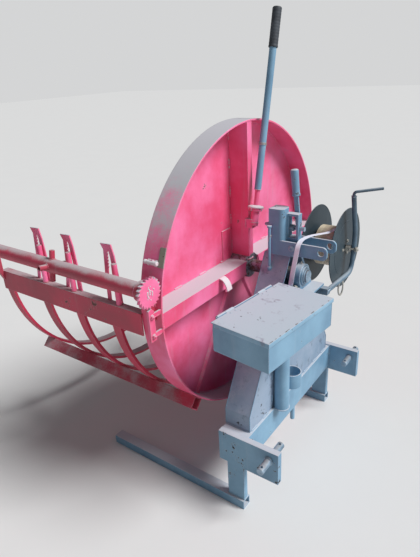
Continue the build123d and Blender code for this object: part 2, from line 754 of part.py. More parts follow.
def make_link_pin(side):
    """Lower link pin with a collar against the hitch plate and linch pin holes."""
    inner = HITCH_INNER - LINK_PIN_INNER
    outer = HITCH_OUTER + LINK_COLLAR + LINK_PIN_FREE
    pin = rod((LINK_PIN_X, inner, LINK_PIN_Z), (LINK_PIN_X, outer, LINK_PIN_Z), LINK_PIN_RADIUS)
    pin += rod(
        (LINK_PIN_X, HITCH_OUTER, LINK_PIN_Z),
        (LINK_PIN_X, HITCH_OUTER + LINK_COLLAR, LINK_PIN_Z),
        LINK_COLLAR_RADIUS,
    )
    low = LINK_PIN_Z - LINK_PIN_RADIUS - CUT_OVERRUN
    high = LINK_PIN_Z + LINK_PIN_RADIUS + CUT_OVERRUN
    for y in (inner + LINCH_HOLE_INSET, outer - LINCH_HOLE_INSET):
        pin -= rod((LINK_PIN_X, y, low), (LINK_PIN_X, y, high), LINCH_HOLE_RADIUS)
    return on_side(pin, side)


def make_floor_skid(side):
    """Skid that runs back along the floor under the drum."""
    middle = HITCH_OUTER - HITCH_PLATE / 2
    y0 = middle - SKID_WIDTH / 2
    y1 = middle + SKID_WIDTH / 2
    outer = block(SKID_REAR_X, SKID_FRONT_X, y0, y1, 0, SKID_HEIGHT)
    inner = block(
        SKID_REAR_X,
        SKID_FRONT_X,
        y0 + SKID_WALL,
        y1 - SKID_WALL,
        SKID_WALL,
        SKID_HEIGHT - SKID_WALL,
    )
    return on_side(outer - inner, side)


def tower_outline(inset, top):
    """Face of the tower's outline, inset by a wall, at X = 0."""
    foot_top = BEAM_TOP_Z + TOWER_FOOT_HEIGHT
    right = [
        (-TOWER_FOOT_HALF + inset, BEAM_TOP_Z),
        (-TOWER_FOOT_HALF + inset, foot_top),
        (-TOWER_TOP_HALF + inset, top),
    ]
    return right + [(-y, z) for y, z in reversed(right)]


def make_tower():
    """Tapered sheet box on the beam, its front wall ending at the bearing's shelf."""
    lean = (TOWER_FOOT_HALF - TOWER_TOP_HALF) / (TOWER_TOP_Z - BEAM_TOP_Z - TOWER_FOOT_HEIGHT)
    side_inset = TOWER_SHEET * hypot(1, lean)
    outer = plate_across(tower_outline(0, TOWER_TOP_Z), BEAM_REAR_X, TOWER_FRONT_X)
    hollow = plate_across(
        tower_outline(side_inset, TOWER_TOP_Z),
        BEAM_REAR_X + TOWER_SHEET,
        TOWER_FRONT_X - TOWER_SHEET,
    )
    hollow &= block(
        BEAM_REAR_X,
        TOWER_FRONT_X,
        -TOWER_FOOT_HALF,
        TOWER_FOOT_HALF,
        BEAM_TOP_Z,
        TOWER_TOP_Z - TOWER_SHEET,
    )
    window = plate_across(
        tower_outline(side_inset, TOWER_TOP_Z), TOWER_FRONT_X - TOWER_SHEET, TOWER_FRONT_X
    )
    window &= block(
        TOWER_FRONT_X - TOWER_SHEET,
        TOWER_FRONT_X,
        -TOWER_FOOT_HALF,
        TOWER_FOOT_HALF,
        SHELF_TOP_Z,
        TOWER_TOP_Z - TOWER_SHEET,
    )
    hole = bar_about_shaft(SHAFT_RADIUS + SHAFT_HOLE_GAP, 0, BEAM_REAR_X + 2 * TOWER_SHEET)
    return outer - hollow - window - hole


def make_bearing_shelf():
    """Shelf plate under the front bearing, in front of the tower."""
    return block(
        TOWER_FRONT_X,
        SHELF_FRONT_X,
        -SHELF_HALF,
        SHELF_HALF,
        SHELF_TOP_Z - SHELF_THICKNESS,
        SHELF_TOP_Z,
    )


def make_front_bearing():
    """Pillow block with a stepped ring housing."""
    x0 = BEARING_X - BEARING_WIDTH / 2
    x1 = BEARING_X + BEARING_WIDTH / 2
    step0 = x0 + BEARING_STEP
    step1 = x1 - BEARING_STEP
    foot = block(
        step0,
        step1,
        -BEARING_FOOT_HALF,
        BEARING_FOOT_HALF,
        SHELF_TOP_Z,
        SHELF_TOP_Z + BEARING_FOOT_HEIGHT,
    )
    web = block(step0, step1, -BEARING_WEB_HALF, BEARING_WEB_HALF, SHELF_TOP_Z, SHAFT_HEIGHT)
    housing = bar_about_shaft(BEARING_RADIUS, step0, step1)
    nose = bar_about_shaft(BEARING_NOSE_RADIUS, x0, x1)
    hole = bar_about_shaft(SHAFT_RADIUS + RUNNING_FIT, x0 - CUT_OVERRUN, x1 + CUT_OVERRUN)
    return foot + web + housing + nose - hole


def make_rear_bearing():
    """Flanged bearing on the tower's rear plate, on the side of the drum."""
    bore = SHAFT_RADIUS + RUNNING_FIT
    flange = ring_about_shaft(
        REAR_BEARING_RADIUS, bore, BEAM_REAR_X - REAR_BEARING_FLANGE, BEAM_REAR_X
    )
    nose = ring_about_shaft(
        REAR_BEARING_NOSE_RADIUS, bore, BEAM_REAR_X - REAR_BEARING_WIDTH, BEAM_REAR_X
    )
    return flange + nose


def along_y(x, z, y0, y1, radius):
    """Round bar along Y between two Y positions."""
    return rod((x, y0, z), (x, y1, z), radius)


def make_top_link_bracket():
    """Base plate with a post, the lock bolt's guide frame and two arms for the top link."""
    post_top = SHAFT_HEIGHT + POST_TOP_RISE
    base = block(
        BRACKET_REAR_X, BRACKET_BASE_FRONT_X, ARM_RIGHT_Y, ARM_LEFT_Y, TOWER_TOP_Z, ARM_BOTTOM_Z
    )
    post = block(BRACKET_REAR_X, POST_FRONT_X, ARM_RIGHT_Y, POST_LEFT_Y, ARM_BOTTOM_Z, post_top)
    post = fillet(post.edges().filter_by(Axis.Z).group_by(Axis.X)[-1], POST_CORNER)
    inner = block(
        BRACKET_REAR_X,
        POST_FRONT_X - POST_WALL,
        ARM_RIGHT_Y + POST_WALL,
        POST_LEFT_Y - POST_WALL,
        ARM_BOTTOM_Z,
        post_top - POST_WALL,
    )
    inner = fillet(inner.edges().filter_by(Axis.Z).group_by(Axis.X)[-1], POST_CORNER - POST_WALL)
    guide_bottom = SHAFT_HEIGHT + GUIDE_BOTTOM_RISE
    guide_top = SHAFT_HEIGHT + GUIDE_TOP_RISE
    guide = block(
        POST_FRONT_X - POST_WALL / 2,
        GUIDE_FRONT_X,
        LOCK_BOLT_Y - GUIDE_HALF_DEPTH,
        LOCK_BOLT_Y + GUIDE_HALF_DEPTH,
        guide_bottom,
        guide_top,
    )
    window = block(
        POST_FRONT_X + GUIDE_BAR,
        GUIDE_FRONT_X - GUIDE_BAR,
        LOCK_BOLT_Y - GUIDE_HALF_DEPTH,
        LOCK_BOLT_Y + GUIDE_HALF_DEPTH,
        guide_bottom + GUIDE_BAR,
        guide_top - GUIDE_BAR,
    )
    bracket = base + (post + guide - inner) - window
    for y0 in (ARM_RIGHT_Y, ARM_LEFT_Y - ARM_PLATE):
        arm = block(BRACKET_REAR_X + ARM_PLATE, ARM_FRONT_X, y0, y0 + ARM_PLATE, ARM_BOTTOM_Z, ARM_TOP_Z)
        bracket += fillet(arm.edges().filter_by(Axis.Y).group_by(Axis.X)[-1], ARM_CORNER)
    y0 = ARM_RIGHT_Y - CUT_OVERRUN
    y1 = ARM_LEFT_Y + CUT_OVERRUN
    bracket -= along_y(TOP_LINK_X, TOP_LINK_Z, y0, y1, TOP_LINK_PIN_RADIUS)
    bracket -= along_y(LOCK_PIVOT_X, LOCK_PIVOT_Z, y0, y1, LOCK_PIVOT_RADIUS + PIN_FIT)
    return bracket - rod(
        (BRACKET_REAR_X, LOCK_BOLT_Y, LOCK_BOLT_Z),
        (ARM_FRONT_X, LOCK_BOLT_Y, LOCK_BOLT_Z),
        LOCK_BOLT_RADIUS + PIN_FIT,
    )


def lock_lever_x(z):
    """X of the lock lever's middle line at a height."""
    top_z = SHAFT_HEIGHT + LOCK_GRIP_RISE + LOCK_GRIP_LENGTH
    share = (z - LOCK_PIVOT_Z) / (top_z - LOCK_PIVOT_Z)
    return LOCK_PIVOT_X + (LOCK_LEVER_TOP_X - LOCK_PIVOT_X) * share


def make_lock_bolt():
    """Bolt that locks the drum, with a coned tip and a cross hole for the lever's pin."""
    tip_end_x = LOCK_BOLT_TIP_X + LOCK_BOLT_TIP_LENGTH
    bolt = rod(
        (tip_end_x, LOCK_BOLT_Y, LOCK_BOLT_Z),
        (LOCK_BOLT_REAR_X, LOCK_BOLT_Y, LOCK_BOLT_Z),
        LOCK_BOLT_RADIUS,
    )
    tip = Plane(origin=(LOCK_BOLT_TIP_X, LOCK_BOLT_Y, LOCK_BOLT_Z), z_dir=(1, 0, 0)) * Cone(
        LOCK_BOLT_TIP_RADIUS,
        LOCK_BOLT_RADIUS,
        LOCK_BOLT_TIP_LENGTH,
        align=(Align.CENTER, Align.CENTER, Align.MIN),
    )
    x = lock_lever_x(LOCK_BOLT_Z)
    side = LOCK_BOLT_RADIUS + CUT_OVERRUN
    hole = along_y(x, LOCK_BOLT_Z, LOCK_BOLT_Y - side, LOCK_BOLT_Y + side, LOCK_DRIVE_RADIUS + PIN_FIT)
    return bolt + tip - hole


def make_lock_lever():
    """Lever that draws the bolt back, with its pivot pin through the bracket's arms."""
    top_z = SHAFT_HEIGHT + LOCK_GRIP_RISE + LOCK_GRIP_LENGTH - LOCK_GRIP_END
    foot_z = LOCK_PIVOT_Z - LOCK_LEVER_HEEL
    half = LOCK_LEVER_WIDTH / 2
    bar = plate_along(
        [
            (lock_lever_x(foot_z) - half, foot_z),
            (lock_lever_x(foot_z) + half, foot_z),
            (lock_lever_x(top_z) + half, top_z),
            (lock_lever_x(top_z) - half, top_z),
        ],
        LOCK_LEVER_Y,
        LOCK_LEVER_Y + LOCK_LEVER_THICKNESS,
    )
    pivot = along_y(
        LOCK_PIVOT_X,
        LOCK_PIVOT_Z,
        ARM_RIGHT_Y - LOCK_PIVOT_OVERHANG,
        ARM_LEFT_Y + LOCK_PIVOT_OVERHANG,
        LOCK_PIVOT_RADIUS,
    )
    drive_x = lock_lever_x(LOCK_BOLT_Z)
    drive = along_y(drive_x, LOCK_BOLT_Z, LOCK_BOLT_Y, LOCK_LEVER_Y, LOCK_DRIVE_RADIUS)
    return bar + pivot + drive


def make_lock_grip():
    """Grip of the lock lever."""
    middle_y = LOCK_LEVER_Y + LOCK_LEVER_THICKNESS / 2
    low_z = SHAFT_HEIGHT + LOCK_GRIP_RISE
    top_z = low_z + LOCK_GRIP_LENGTH
    sleeve = rod(
        (lock_lever_x(low_z), middle_y, low_z), (lock_lever_x(top_z), middle_y, top_z), LOCK_GRIP_RADIUS
    )
    return sleeve - make_lock_lever()


def make_upright_pin():
    """Upright pin with a round foot on the tower's right wall and a flat head."""
    place = (UPRIGHT_PIN_X, UPRIGHT_PIN_Y)
    foot_z = SHAFT_HEIGHT + UPRIGHT_PIN_FOOT_RISE
    top_z = SHAFT_HEIGHT + UPRIGHT_PIN_TOP_RISE
    stem = rod((*place, foot_z), (*place, top_z), UPRIGHT_PIN_RADIUS)
    head = rod((*place, top_z), (*place, top_z + UPRIGHT_PIN_HEAD_HEIGHT), UPRIGHT_PIN_HEAD_RADIUS)
    foot = Pos(*place, foot_z) * Sphere(UPRIGHT_PIN_FOOT_RADIUS)
    wall = plate_across(tower_outline(0, TOWER_TOP_Z), BEAM_REAR_X, TOWER_FRONT_X)
    return stem + head + foot - wall


# Strap bin, its post and the bar holder


def place_in_bin(piece):
    """Move a piece from the bin's own frame, with its lid's top at Z = 0, to its place."""
    return Pos(BIN_X, BIN_Y, BIN_TOP_Z) * Rot(0, 0, BIN_TURN) * piece


def hinge_bar(y0, y1, radius):
    """Round bar on the lid's hinge axis, in the bin's own frame."""
    return along_y(-BIN_WIDTH / 2 - HINGE_OUT, -LID_SHEET, y0, y1, radius)


def hinge_knuckles(on_lid):
    """Knuckles of the lid or of the bin, in the bin's own frame."""
    half = HINGE_KNUCKLE_LENGTH / 2
    return [
        (middle - half, middle + half) for middle, lids in HINGE_KNUCKLES if lids == on_lid
    ]


def make_strap_bin():
    """Open sheet box of the strap bin."""
    rim = -LID_SHEET - LID_SEAT_GAP
    half_w = BIN_WIDTH / 2 - LID_SHEET - LID_SIDE_GAP
    half_l = BIN_LENGTH / 2 - LID_SHEET - LID_SIDE_GAP
    inner_w = half_w - BIN_SHEET
    inner_l = half_l - BIN_SHEET
    outer = block(-half_w, half_w, -half_l, half_l, -BIN_HEIGHT, rim)
    inner = block(-inner_w, inner_w, -inner_l, inner_l, -BIN_HEIGHT + BIN_SHEET, rim)
    return place_in_bin(outer - inner)


def make_bin_hinge():
    """Hinge rod with the two fixed knuckles and their leaves on the bin's rear wall."""
    wall_x = -BIN_WIDTH / 2 + LID_SHEET + LID_SIDE_GAP
    axis_x = -BIN_WIDTH / 2 - HINGE_OUT
    hinge = hinge_bar(-HINGE_ROD_HALF, HINGE_ROD_HALF, HINGE_ROD_RADIUS)
    leaf_top = -LID_SHEET - LID_SEAT_GAP
    for y0, y1 in hinge_knuckles(False):
        hinge += hinge_bar(y0, y1, HINGE_KNUCKLE_RADIUS)
        hinge += block(axis_x, wall_x, y0, y1, -LID_SHEET - HINGE_KNUCKLE_RADIUS, leaf_top)
        hinge += block(wall_x - HINGE_LEAF, wall_x, y0, y1, -HINGE_LEAF_DROP, leaf_top)
    return place_in_bin(hinge)


def make_bin_lid():
    """Lid with turned-down lips on three sides and the two knuckles that turn on the rod."""
    half_w = BIN_WIDTH / 2
    half_l = BIN_LENGTH / 2
    lid = block(-half_w, half_w, -half_l, half_l, -LID_SHEET, 0)
    lid += block(half_w - LID_SHEET, half_w, -half_l, half_l, -LID_LIP, 0)
    for y0 in (-half_l, half_l - LID_SHEET):
        lid += block(-half_w + LID_LIP_CUTBACK, half_w, y0, y0 + LID_SHEET, -LID_LIP, 0)
    for y0, y1 in hinge_knuckles(True):
        lid += hinge_bar(y0, y1, HINGE_KNUCKLE_RADIUS)
        lid += block(-half_w - HINGE_OUT, -half_w, y0, y1, -LID_SHEET, 0)
        lid -= hinge_bar(y0 - CUT_OVERRUN, y1 + CUT_OVERRUN, HINGE_ROD_RADIUS + RUNNING_FIT)
    return place_in_bin(lid)


def tube_on_tower(y, radius, wall, low, high):
    """Upright round tube with a narrow flat welded against the tower's front."""
    x = TOWER_FRONT_X + radius - WELD_FLAT
    tube = pipe((x, y, low), (x, y, high), radius, wall)
    return tube - block(BEAM_REAR_X, TOWER_FRONT_X, y - radius, y + radius, low, high)


def make_bin_post():
    """Round post in front of the tower with the flat bar that carries the bin."""
    seat_low = BIN_BOTTOM_Z - BIN_SEAT_THICKNESS
    post = tube_on_tower(BIN_POST_Y, BIN_POST_RADIUS, BIN_POST_WALL, BEAM_TOP_Z, seat_low)
    inner_y = BIN_POST_Y + BIN_POST_RADIUS
    seat = block(
        TOWER_FRONT_X,
        TOWER_FRONT_X + 2 * BIN_POST_RADIUS,
        inner_y - BIN_SEAT_LENGTH,
        inner_y,
        seat_low,
        BIN_BOTTOM_Z,
    )
    return post + seat


def make_bar_holder():
    """Short open tube that holds the tightening bar, on the tower's front."""
    low = HOLDER_TOP_Z - HOLDER_HEIGHT
    return tube_on_tower(HOLDER_Y, HOLDER_RADIUS, HOLDER_WALL, low, HOLDER_TOP_Z)


# Strap reel, its arm and the strap's free end


def reel_bar(radius, x0, x1):
    """Round bar on the reel's axis."""
    return rod((x0, REEL_Y, REEL_Z), (x1, REEL_Y, REEL_Z), radius)


def reel_ring(outer, inner, x0, x1):
    """Ring on the reel's axis."""
    return reel_bar(outer, x0, x1) - reel_bar(inner, x0, x1)


def make_reel_flange(x0):
    """Round sheet flange of the reel."""
    return reel_ring(REEL_RADIUS, REEL_CORE_RADIUS, x0, x0 + REEL_FLANGE)


def make_reel_core():
    """Core tube with its two end discs that run on the axle."""
    inner = REEL_CORE_RADIUS - REEL_CORE_WALL
    core = reel_ring(REEL_CORE_RADIUS, inner, REEL_X, REEL_FRONT_X)
    for x in (REEL_X, REEL_FRONT_X - REEL_FLANGE):
        core += reel_ring(inner, AXLE_RADIUS + RUNNING_FIT, x, x + REEL_FLANGE)
    return core


def make_strap_roll():
    """Roll of strap wound on the core."""
    inset = REEL_FLANGE + ROLL_END_GAP
    return reel_ring(ROLL_RADIUS, REEL_CORE_RADIUS, REEL_X + inset, REEL_FRONT_X - inset)


def make_reel_axle():
    """Axle through the reel, with a collar and a threaded end with its nut on the arm."""
    rear = REEL_X - AXLE_REAR_OVERHANG
    arm_face = REEL_ARM_X - REEL_ARM_RADIUS
    axle = reel_bar(AXLE_RADIUS, rear, arm_face)
    axle += reel_bar(AXLE_COLLAR_RADIUS, REEL_FRONT_X + AXLE_COLLAR_GAP, arm_face)
    nut_x = REEL_ARM_X + REEL_ARM_RADIUS
    axle += reel_bar(AXLE_SPIGOT_RADIUS, arm_face, nut_x + AXLE_NUT_HEIGHT)
    return axle + reel_bar(AXLE_NUT_RADIUS, nut_x, nut_x + AXLE_NUT_HEIGHT)


def make_reel_arm():
    """Bent round bar from the shelf's end to the axle and up, with a thin guide rod on top."""
    arm = round_bar_along(
        [(REEL_ARM_X, y, SHAFT_HEIGHT + rise) for y, rise in REEL_ARM_POINTS], REEL_ARM_RADIUS
    )
    guide = round_bar_along(
        [(x, y, SHAFT_HEIGHT + rise) for x, y, rise in GUIDE_ROD_POINTS], GUIDE_ROD_RADIUS
    )
    foot_y, foot_rise = REEL_ARM_POINTS[0]
    foot = block(
        SHELF_FRONT_X - REEL_ARM_FOOT_LAP,
        REEL_ARM_X + REEL_ARM_RADIUS,
        foot_y - REEL_ARM_FOOT_HALF,
        foot_y + REEL_ARM_FOOT_HALF,
        SHAFT_HEIGHT + foot_rise - REEL_ARM_FOOT_DEPTH,
        SHELF_TOP_Z - SHELF_THICKNESS,
    )
    hole = reel_bar(
        AXLE_SPIGOT_RADIUS + PIN_FIT,
        REEL_ARM_X - 2 * REEL_ARM_RADIUS,
        REEL_ARM_X + 2 * REEL_ARM_RADIUS,
    )
    return arm + guide + foot - hole


def strap_route():
    """Points of the strap's middle line, from the roll's edge to its cut end."""
    radius = ROLL_RADIUS + STRAP_ROLL_GAP + STRAP_THICKNESS / 2
    first_y, first_rise = STRAP_OVER_POINTS[0]
    to_y = REEL_Y - first_y
    to_z = REEL_RISE - first_rise
    distance = hypot(to_y, to_z)
    tangent = (distance**2 - radius**2) ** 0.5
    along_y_share = (to_y * tangent - to_z * radius) / distance**2
    along_z_share = (to_z * tangent + to_y * radius) / distance**2
    start_y = first_y + tangent * along_y_share
    start_rise = first_rise + tangent * along_z_share
    route = [(STRAP_X, start_y, SHAFT_HEIGHT + start_rise)]
    for y, rise in STRAP_OVER_POINTS:
        route.append((STRAP_X, y, SHAFT_HEIGHT + rise))
    edge_rise = STRAP_OVER_POINTS[-1][1]
    for y, rise in STRAP_HANG_POINTS:
        x = STRAP_X - (edge_rise - rise) * tan(radians(STRAP_HANG_TILT))
        route.append((x, y, SHAFT_HEIGHT + rise))
    return route


def make_strap_tail():
    """Flat strap from the roll over the bracket's arms, hanging beside the tower."""
    path, radii = eased_path(strap_route())
    plane = Plane(origin=path @ 0, x_dir=(1, 0, 0), z_dir=path % 0)
    strap = sweep(plane * Rectangle(STRAP_WIDTH, STRAP_THICKNESS), path=path)
    print("strap radii", [round(radius) for radius in radii])
    share = strap.volume / (STRAP_WIDTH * STRAP_THICKNESS * path.length)
    print("strap length", round(path.length, 1), "volume share", round(share, 4))
    return strap


parts = {
    "drum_shaft": make_drum_shaft(),
    "pan_plate": make_pan_plate(),
    "pan_rim": make_pan_rim(),
    "cross_member": make_cross_member(),
    "upright_member": make_upright_member(),
    "hook_posts": make_hook_posts(),
    "windlass_eyes": make_windlass_eyes(),
    "windlass_tube": make_windlass_tube(),
    "ratchet_wheel": make_ratchet_wheel(),
    "pawl": make_pawl(),
    "lever_socket": make_lever_socket(),
    "turning_lever": make_turning_lever(),
    "turning_lever_grip": make_lever_grip(),
    "lower_beam": make_lower_beam(),
    "tower": make_tower(),
    "bearing_shelf": make_bearing_shelf(),
    "front_bearing": make_front_bearing(),
    "rear_bearing": make_rear_bearing(),
    "top_link_bracket": make_top_link_bracket(),
    "lock_bolt": make_lock_bolt(),
    "lock_lever": make_lock_lever(),
    "lock_lever_grip": make_lock_grip(),
    "upright_pin": make_upright_pin(),
    "strap_bin": make_strap_bin(),
    "bin_hinge": make_bin_hinge(),
    "bin_lid": make_bin_lid(),
    "bin_post": make_bin_post(),
    "bar_holder": make_bar_holder(),
    "reel_flange_rear": make_reel_flange(REEL_X),
    "reel_flange_front": make_reel_flange(REEL_FRONT_X - REEL_FLANGE),
    "reel_core": make_reel_core(),
    "strap_roll": make_strap_roll(),
    "reel_axle": make_reel_axle(),
    "reel_arm": make_reel_arm(),
    "strap_tail": make_strap_tail(),
}
for number, arc_x in enumerate(ARC_XS, start=1):
    parts[f"cradle_arc_{number}"] = make_arc(arc_x)
for number, (hook_x, rear_foot, _) in enumerate(HOOKS, start=1):
    parts[f"strap_hook_{number}"] = make_strap_hook(hook_x, rear_foot)
for side, name in ((-1, "right"), (1, "left")):
    parts[f"side_channel_{name}"] = make_side_channel(side)
    parts[f"bottom_rail_{name}"] = make_bottom_rail(side)
    parts[f"hitch_plate_{name}"] = make_hitch_plate(side)
    parts[f"link_pin_{name}"] = make_link_pin(side)
    parts[f"floor_skid_{name}"] = make_floor_skid(side)

outline = Compound(list(parts.values())).bounding_box()
to_origin = Pos(-outline.center().X, -outline.center().Y, 0)
for name, part in parts.items():
    export_step(to_origin * part, f"parts/{name}.step")
print("moved by", to_origin.position)
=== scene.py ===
"""Firewood bundler for a tractor's three-point linkage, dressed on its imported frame."""

import json
import logging
import math
import random
from dataclasses import dataclass
from enum import Enum

import bmesh
import bpy
from mathutils import Matrix, Vector


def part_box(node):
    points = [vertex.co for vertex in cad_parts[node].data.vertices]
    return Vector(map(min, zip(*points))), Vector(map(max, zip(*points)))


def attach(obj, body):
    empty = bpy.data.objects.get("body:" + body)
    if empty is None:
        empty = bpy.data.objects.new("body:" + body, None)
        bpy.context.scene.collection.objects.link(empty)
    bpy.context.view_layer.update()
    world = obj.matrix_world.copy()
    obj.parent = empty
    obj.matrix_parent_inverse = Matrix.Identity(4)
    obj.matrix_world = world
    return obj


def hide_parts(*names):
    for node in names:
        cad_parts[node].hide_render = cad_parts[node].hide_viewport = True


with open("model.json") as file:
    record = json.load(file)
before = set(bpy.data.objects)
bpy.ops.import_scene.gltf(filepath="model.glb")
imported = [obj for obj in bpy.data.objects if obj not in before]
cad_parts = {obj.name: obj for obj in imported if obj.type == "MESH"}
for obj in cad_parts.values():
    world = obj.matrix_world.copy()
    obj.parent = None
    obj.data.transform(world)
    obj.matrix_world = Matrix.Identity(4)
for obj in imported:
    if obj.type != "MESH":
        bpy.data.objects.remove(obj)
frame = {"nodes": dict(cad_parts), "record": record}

logging.basicConfig(level=logging.INFO, format="%(message)s")
log = logging.getLogger("bundler")

IMAGE_HEIGHT = 557
MM = 0.001
SHAFT_HEIGHT = 865.0
SMOOTH_ANGLE = math.radians(38)
SHARP_RADIUS = 0.02
WELD_PITCH = 3.4
X_AXIS = Vector((1.0, 0.0, 0.0))
Y_AXIS = Vector((0.0, 1.0, 0.0))
Z_AXIS = Vector((0.0, 0.0, 1.0))

Colour = tuple[float, float, float, float]
Point = tuple[float, float, float]
Profile = list[tuple[float, float]]
Pairs = tuple[tuple[float, float], ...]
Socket = bpy.types.NodeSocket


class Slot(Enum):
    """Material slots of the record."""

    RED_PAINT = "red_paint"
    GREY_PAINT = "grey_paint"
    REEL_PAINT = "reel_paint"
    BLACK_GRIP = "black_grip"
    BARE_STEEL = "bare_steel"
    STRAP_PLASTIC = "strap_plastic"


# Shader building


class Sheet:
    """Helper that places nodes in one node tree."""

    def __init__(self, tree: bpy.types.NodeTree) -> None:
        """Start on a tree.

        Args:
            tree: The tree that takes the nodes.
        """
        self.tree = tree

    def node(self, kind: str, inputs: dict | None = None, **settings: object) -> bpy.types.Node:
        """Add a node and fill its sockets.

        Args:
            kind: The node's type name.
            inputs: Values or sockets by input name or number.
            settings: Properties of the node.

        Returns:
            The new node.
        """
        made = self.tree.nodes.new(kind)
        for name, value in settings.items():
            setattr(made, name, value)
        for name, value in (inputs or {}).items():
            self.feed(made.inputs[name], value)
        return made

    def feed(self, socket: Socket, value: object) -> None:
        """Link or set one socket.

        Args:
            socket: The input socket.
            value: Another socket or a constant.
        """
        if isinstance(value, Socket):
            self.tree.links.new(value, socket)
        else:
            socket.default_value = value

    def math(self, kind: str, a: object, b: object) -> Socket:
        """Combine two values or sockets by an operation's name."""
        return self.node("ShaderNodeMath", {0: a, 1: b}, operation=kind).outputs[0]

    def times(self, a: object, b: object) -> Socket:
        """Multiply two values or sockets."""
        return self.math("MULTIPLY", a, b)

    def plus(self, a: object, b: object) -> Socket:
        """Add two values or sockets."""
        return self.math("ADD", a, b)

    def minus(self, a: object, b: object) -> Socket:
        """Subtract the second value or socket from the first."""
        return self.math("SUBTRACT", a, b)

    def place(self) -> Socket:
        """Add the object's own coordinates."""
        return self.node("ShaderNodeTexCoord").outputs["Object"]

    def drawn(self, place: Socket, scale: Point, turn: Point = (0.0, 0.0, 0.0)) -> Socket:
        """Turn and stretch a place."""
        return self.node("ShaderNodeMapping", {"Vector": place, "Rotation": turn, "Scale": scale}).outputs[0]

    def noise(self, place: object, scale: object, detail: float, roughness: float) -> Socket:
        """Noise value at a place.

        Args:
            place: Vector socket.
            scale: Value or socket.
            detail: Octaves.
            roughness: Share kept by each octave.

        Returns:
            The value's socket.
        """
        inputs = {"Vector": place, "Scale": scale, "Detail": detail, "Roughness": roughness}
        return self.node("ShaderNodeTexNoise", inputs).outputs["Fac"]

    def ramp(self, value: object, low: float, high: float) -> Socket:
        """Smooth step of a value, from 0 at the low level to 1 at the high one."""
        inputs = {"Value": value, "From Min": low, "From Max": high}
        return self.node("ShaderNodeMapRange", inputs, interpolation_type="SMOOTHSTEP").outputs["Result"]

    def mix(self, share: object, a: object, b: object) -> Socket:
        """Mix two colours by the share of the second one."""
        return self.node("ShaderNodeMix", {0: share, 6: a, 7: b}, data_type="RGBA").outputs[2]

    def cover(self, colour: Socket, *layers: tuple[Socket, object]) -> Socket:
        """Lay colours over a base, one after the other.

        Args:
            colour: The base.
            layers: Pairs of a mask and a colour.

        Returns:
            The colour's socket.
        """
        for mask, shade in layers:
            colour = self.mix(mask, colour, shade)
        return colour


def linear(red: int, green: int, blue: int) -> Colour:
    """Turn a display colour into a linear one.

    Args:
        red: 0 to 255.
        green: 0 to 255.
        blue: 0 to 255.

    Returns:
        Linear colour with alpha 1.
    """
    shares = [value / 255.0 for value in (red, green, blue)]
    values = [s / 12.92 if s <= 0.04045 else ((s + 0.055) / 1.055) ** 2.4 for s in shares]
    return (values[0], values[1], values[2], 1.0)


class Effect(Enum):
    """Shader node groups shared by several finishes."""

    SETTLED_DUST = "settled dust"
    EDGE_WEAR = "edge wear"
    BRUSH_MOTTLE = "brush mottle"
    PAINT_CHIPS = "paint chips"
    LONG_SCUFFS = "long scuffs"


def open_group(
    effect: Effect, inputs: dict[str, float], values: tuple[str, ...], vectors: tuple[str, ...] = ()
) -> tuple[Sheet, bpy.types.NodeOutputs, bpy.types.NodeInputs]:
    """Start a shader node group.

    Args:
        effect: The group's name.
        inputs: Float inputs with their defaults.
        values: Names of the float outputs.
        vectors: Names of the vector outputs.

    Returns:
        The sheet, the group's inputs and its outputs.
    """
    tree = bpy.data.node_groups.new(effect.value, "ShaderNodeTree")
    for name, value in inputs.items():
        tree.interface.new_socket(name, in_out="INPUT", socket_type="NodeSocketFloat").default_value = value
    for names, kind in ((values, "NodeSocketFloat"), (vectors, "NodeSocketVector")):
        for name in names:
            tree.interface.new_socket(name, in_out="OUTPUT", socket_type=kind)
    sheet = Sheet(tree)
    return sheet, sheet.node("NodeGroupInput").outputs, sheet.node("NodeGroupOutput").inputs


def build_settled_dust() -> None:
    """Mask of dust that lies on surfaces that face up, broken up by noise."""
    sheet, given, result = open_group(Effect.SETTLED_DUST, {"Amount": 0.5, "Scale": 9.0}, ("Mask",))
    place = sheet.node("ShaderNodeTexCoord").outputs
    up = sheet.node("ShaderNodeSeparateXYZ", {0: place["Normal"]}).outputs["Z"]
    cloud = sheet.noise(place["Object"], given["Scale"], 7.0, 0.62)
    grain = sheet.noise(place["Object"], 190.0, 3.0, 0.7)
    cloud = sheet.plus(sheet.times(cloud, 0.75), sheet.times(grain, 0.25))
    level = sheet.plus(sheet.times(up, 0.62), sheet.times(cloud, 0.9))
    past = sheet.minus(level, sheet.minus(1.25, given["Amount"]))
    sheet.feed(result["Mask"], sheet.ramp(past, -0.12, 0.2))


def build_edge_wear() -> None:
    """Mask of rubbed edges from the rounded normal against the flat one, and the rounded normal."""
    inputs = {"Width": 0.004, "Breakup": 60.0}
    sheet, given, result = open_group(Effect.EDGE_WEAR, inputs, ("Mask",), ("Soft Normal",))
    soft = sheet.node("ShaderNodeBevel", {"Radius": given["Width"]}, samples=6).outputs["Normal"]
    flat = sheet.node("ShaderNodeNewGeometry").outputs["Normal"]
    turn = sheet.node("ShaderNodeVectorMath", {0: soft, 1: flat}, operation="DOT_PRODUCT").outputs["Value"]
    cloud = sheet.noise(sheet.place(), given["Breakup"], 5.0, 0.7)
    near = sheet.times(sheet.minus(1.0, turn), sheet.times(cloud, 9.0))
    sheet.feed(result["Mask"], sheet.ramp(near, 0.25, 0.9))
    sheet.feed(result["Soft Normal"], soft)


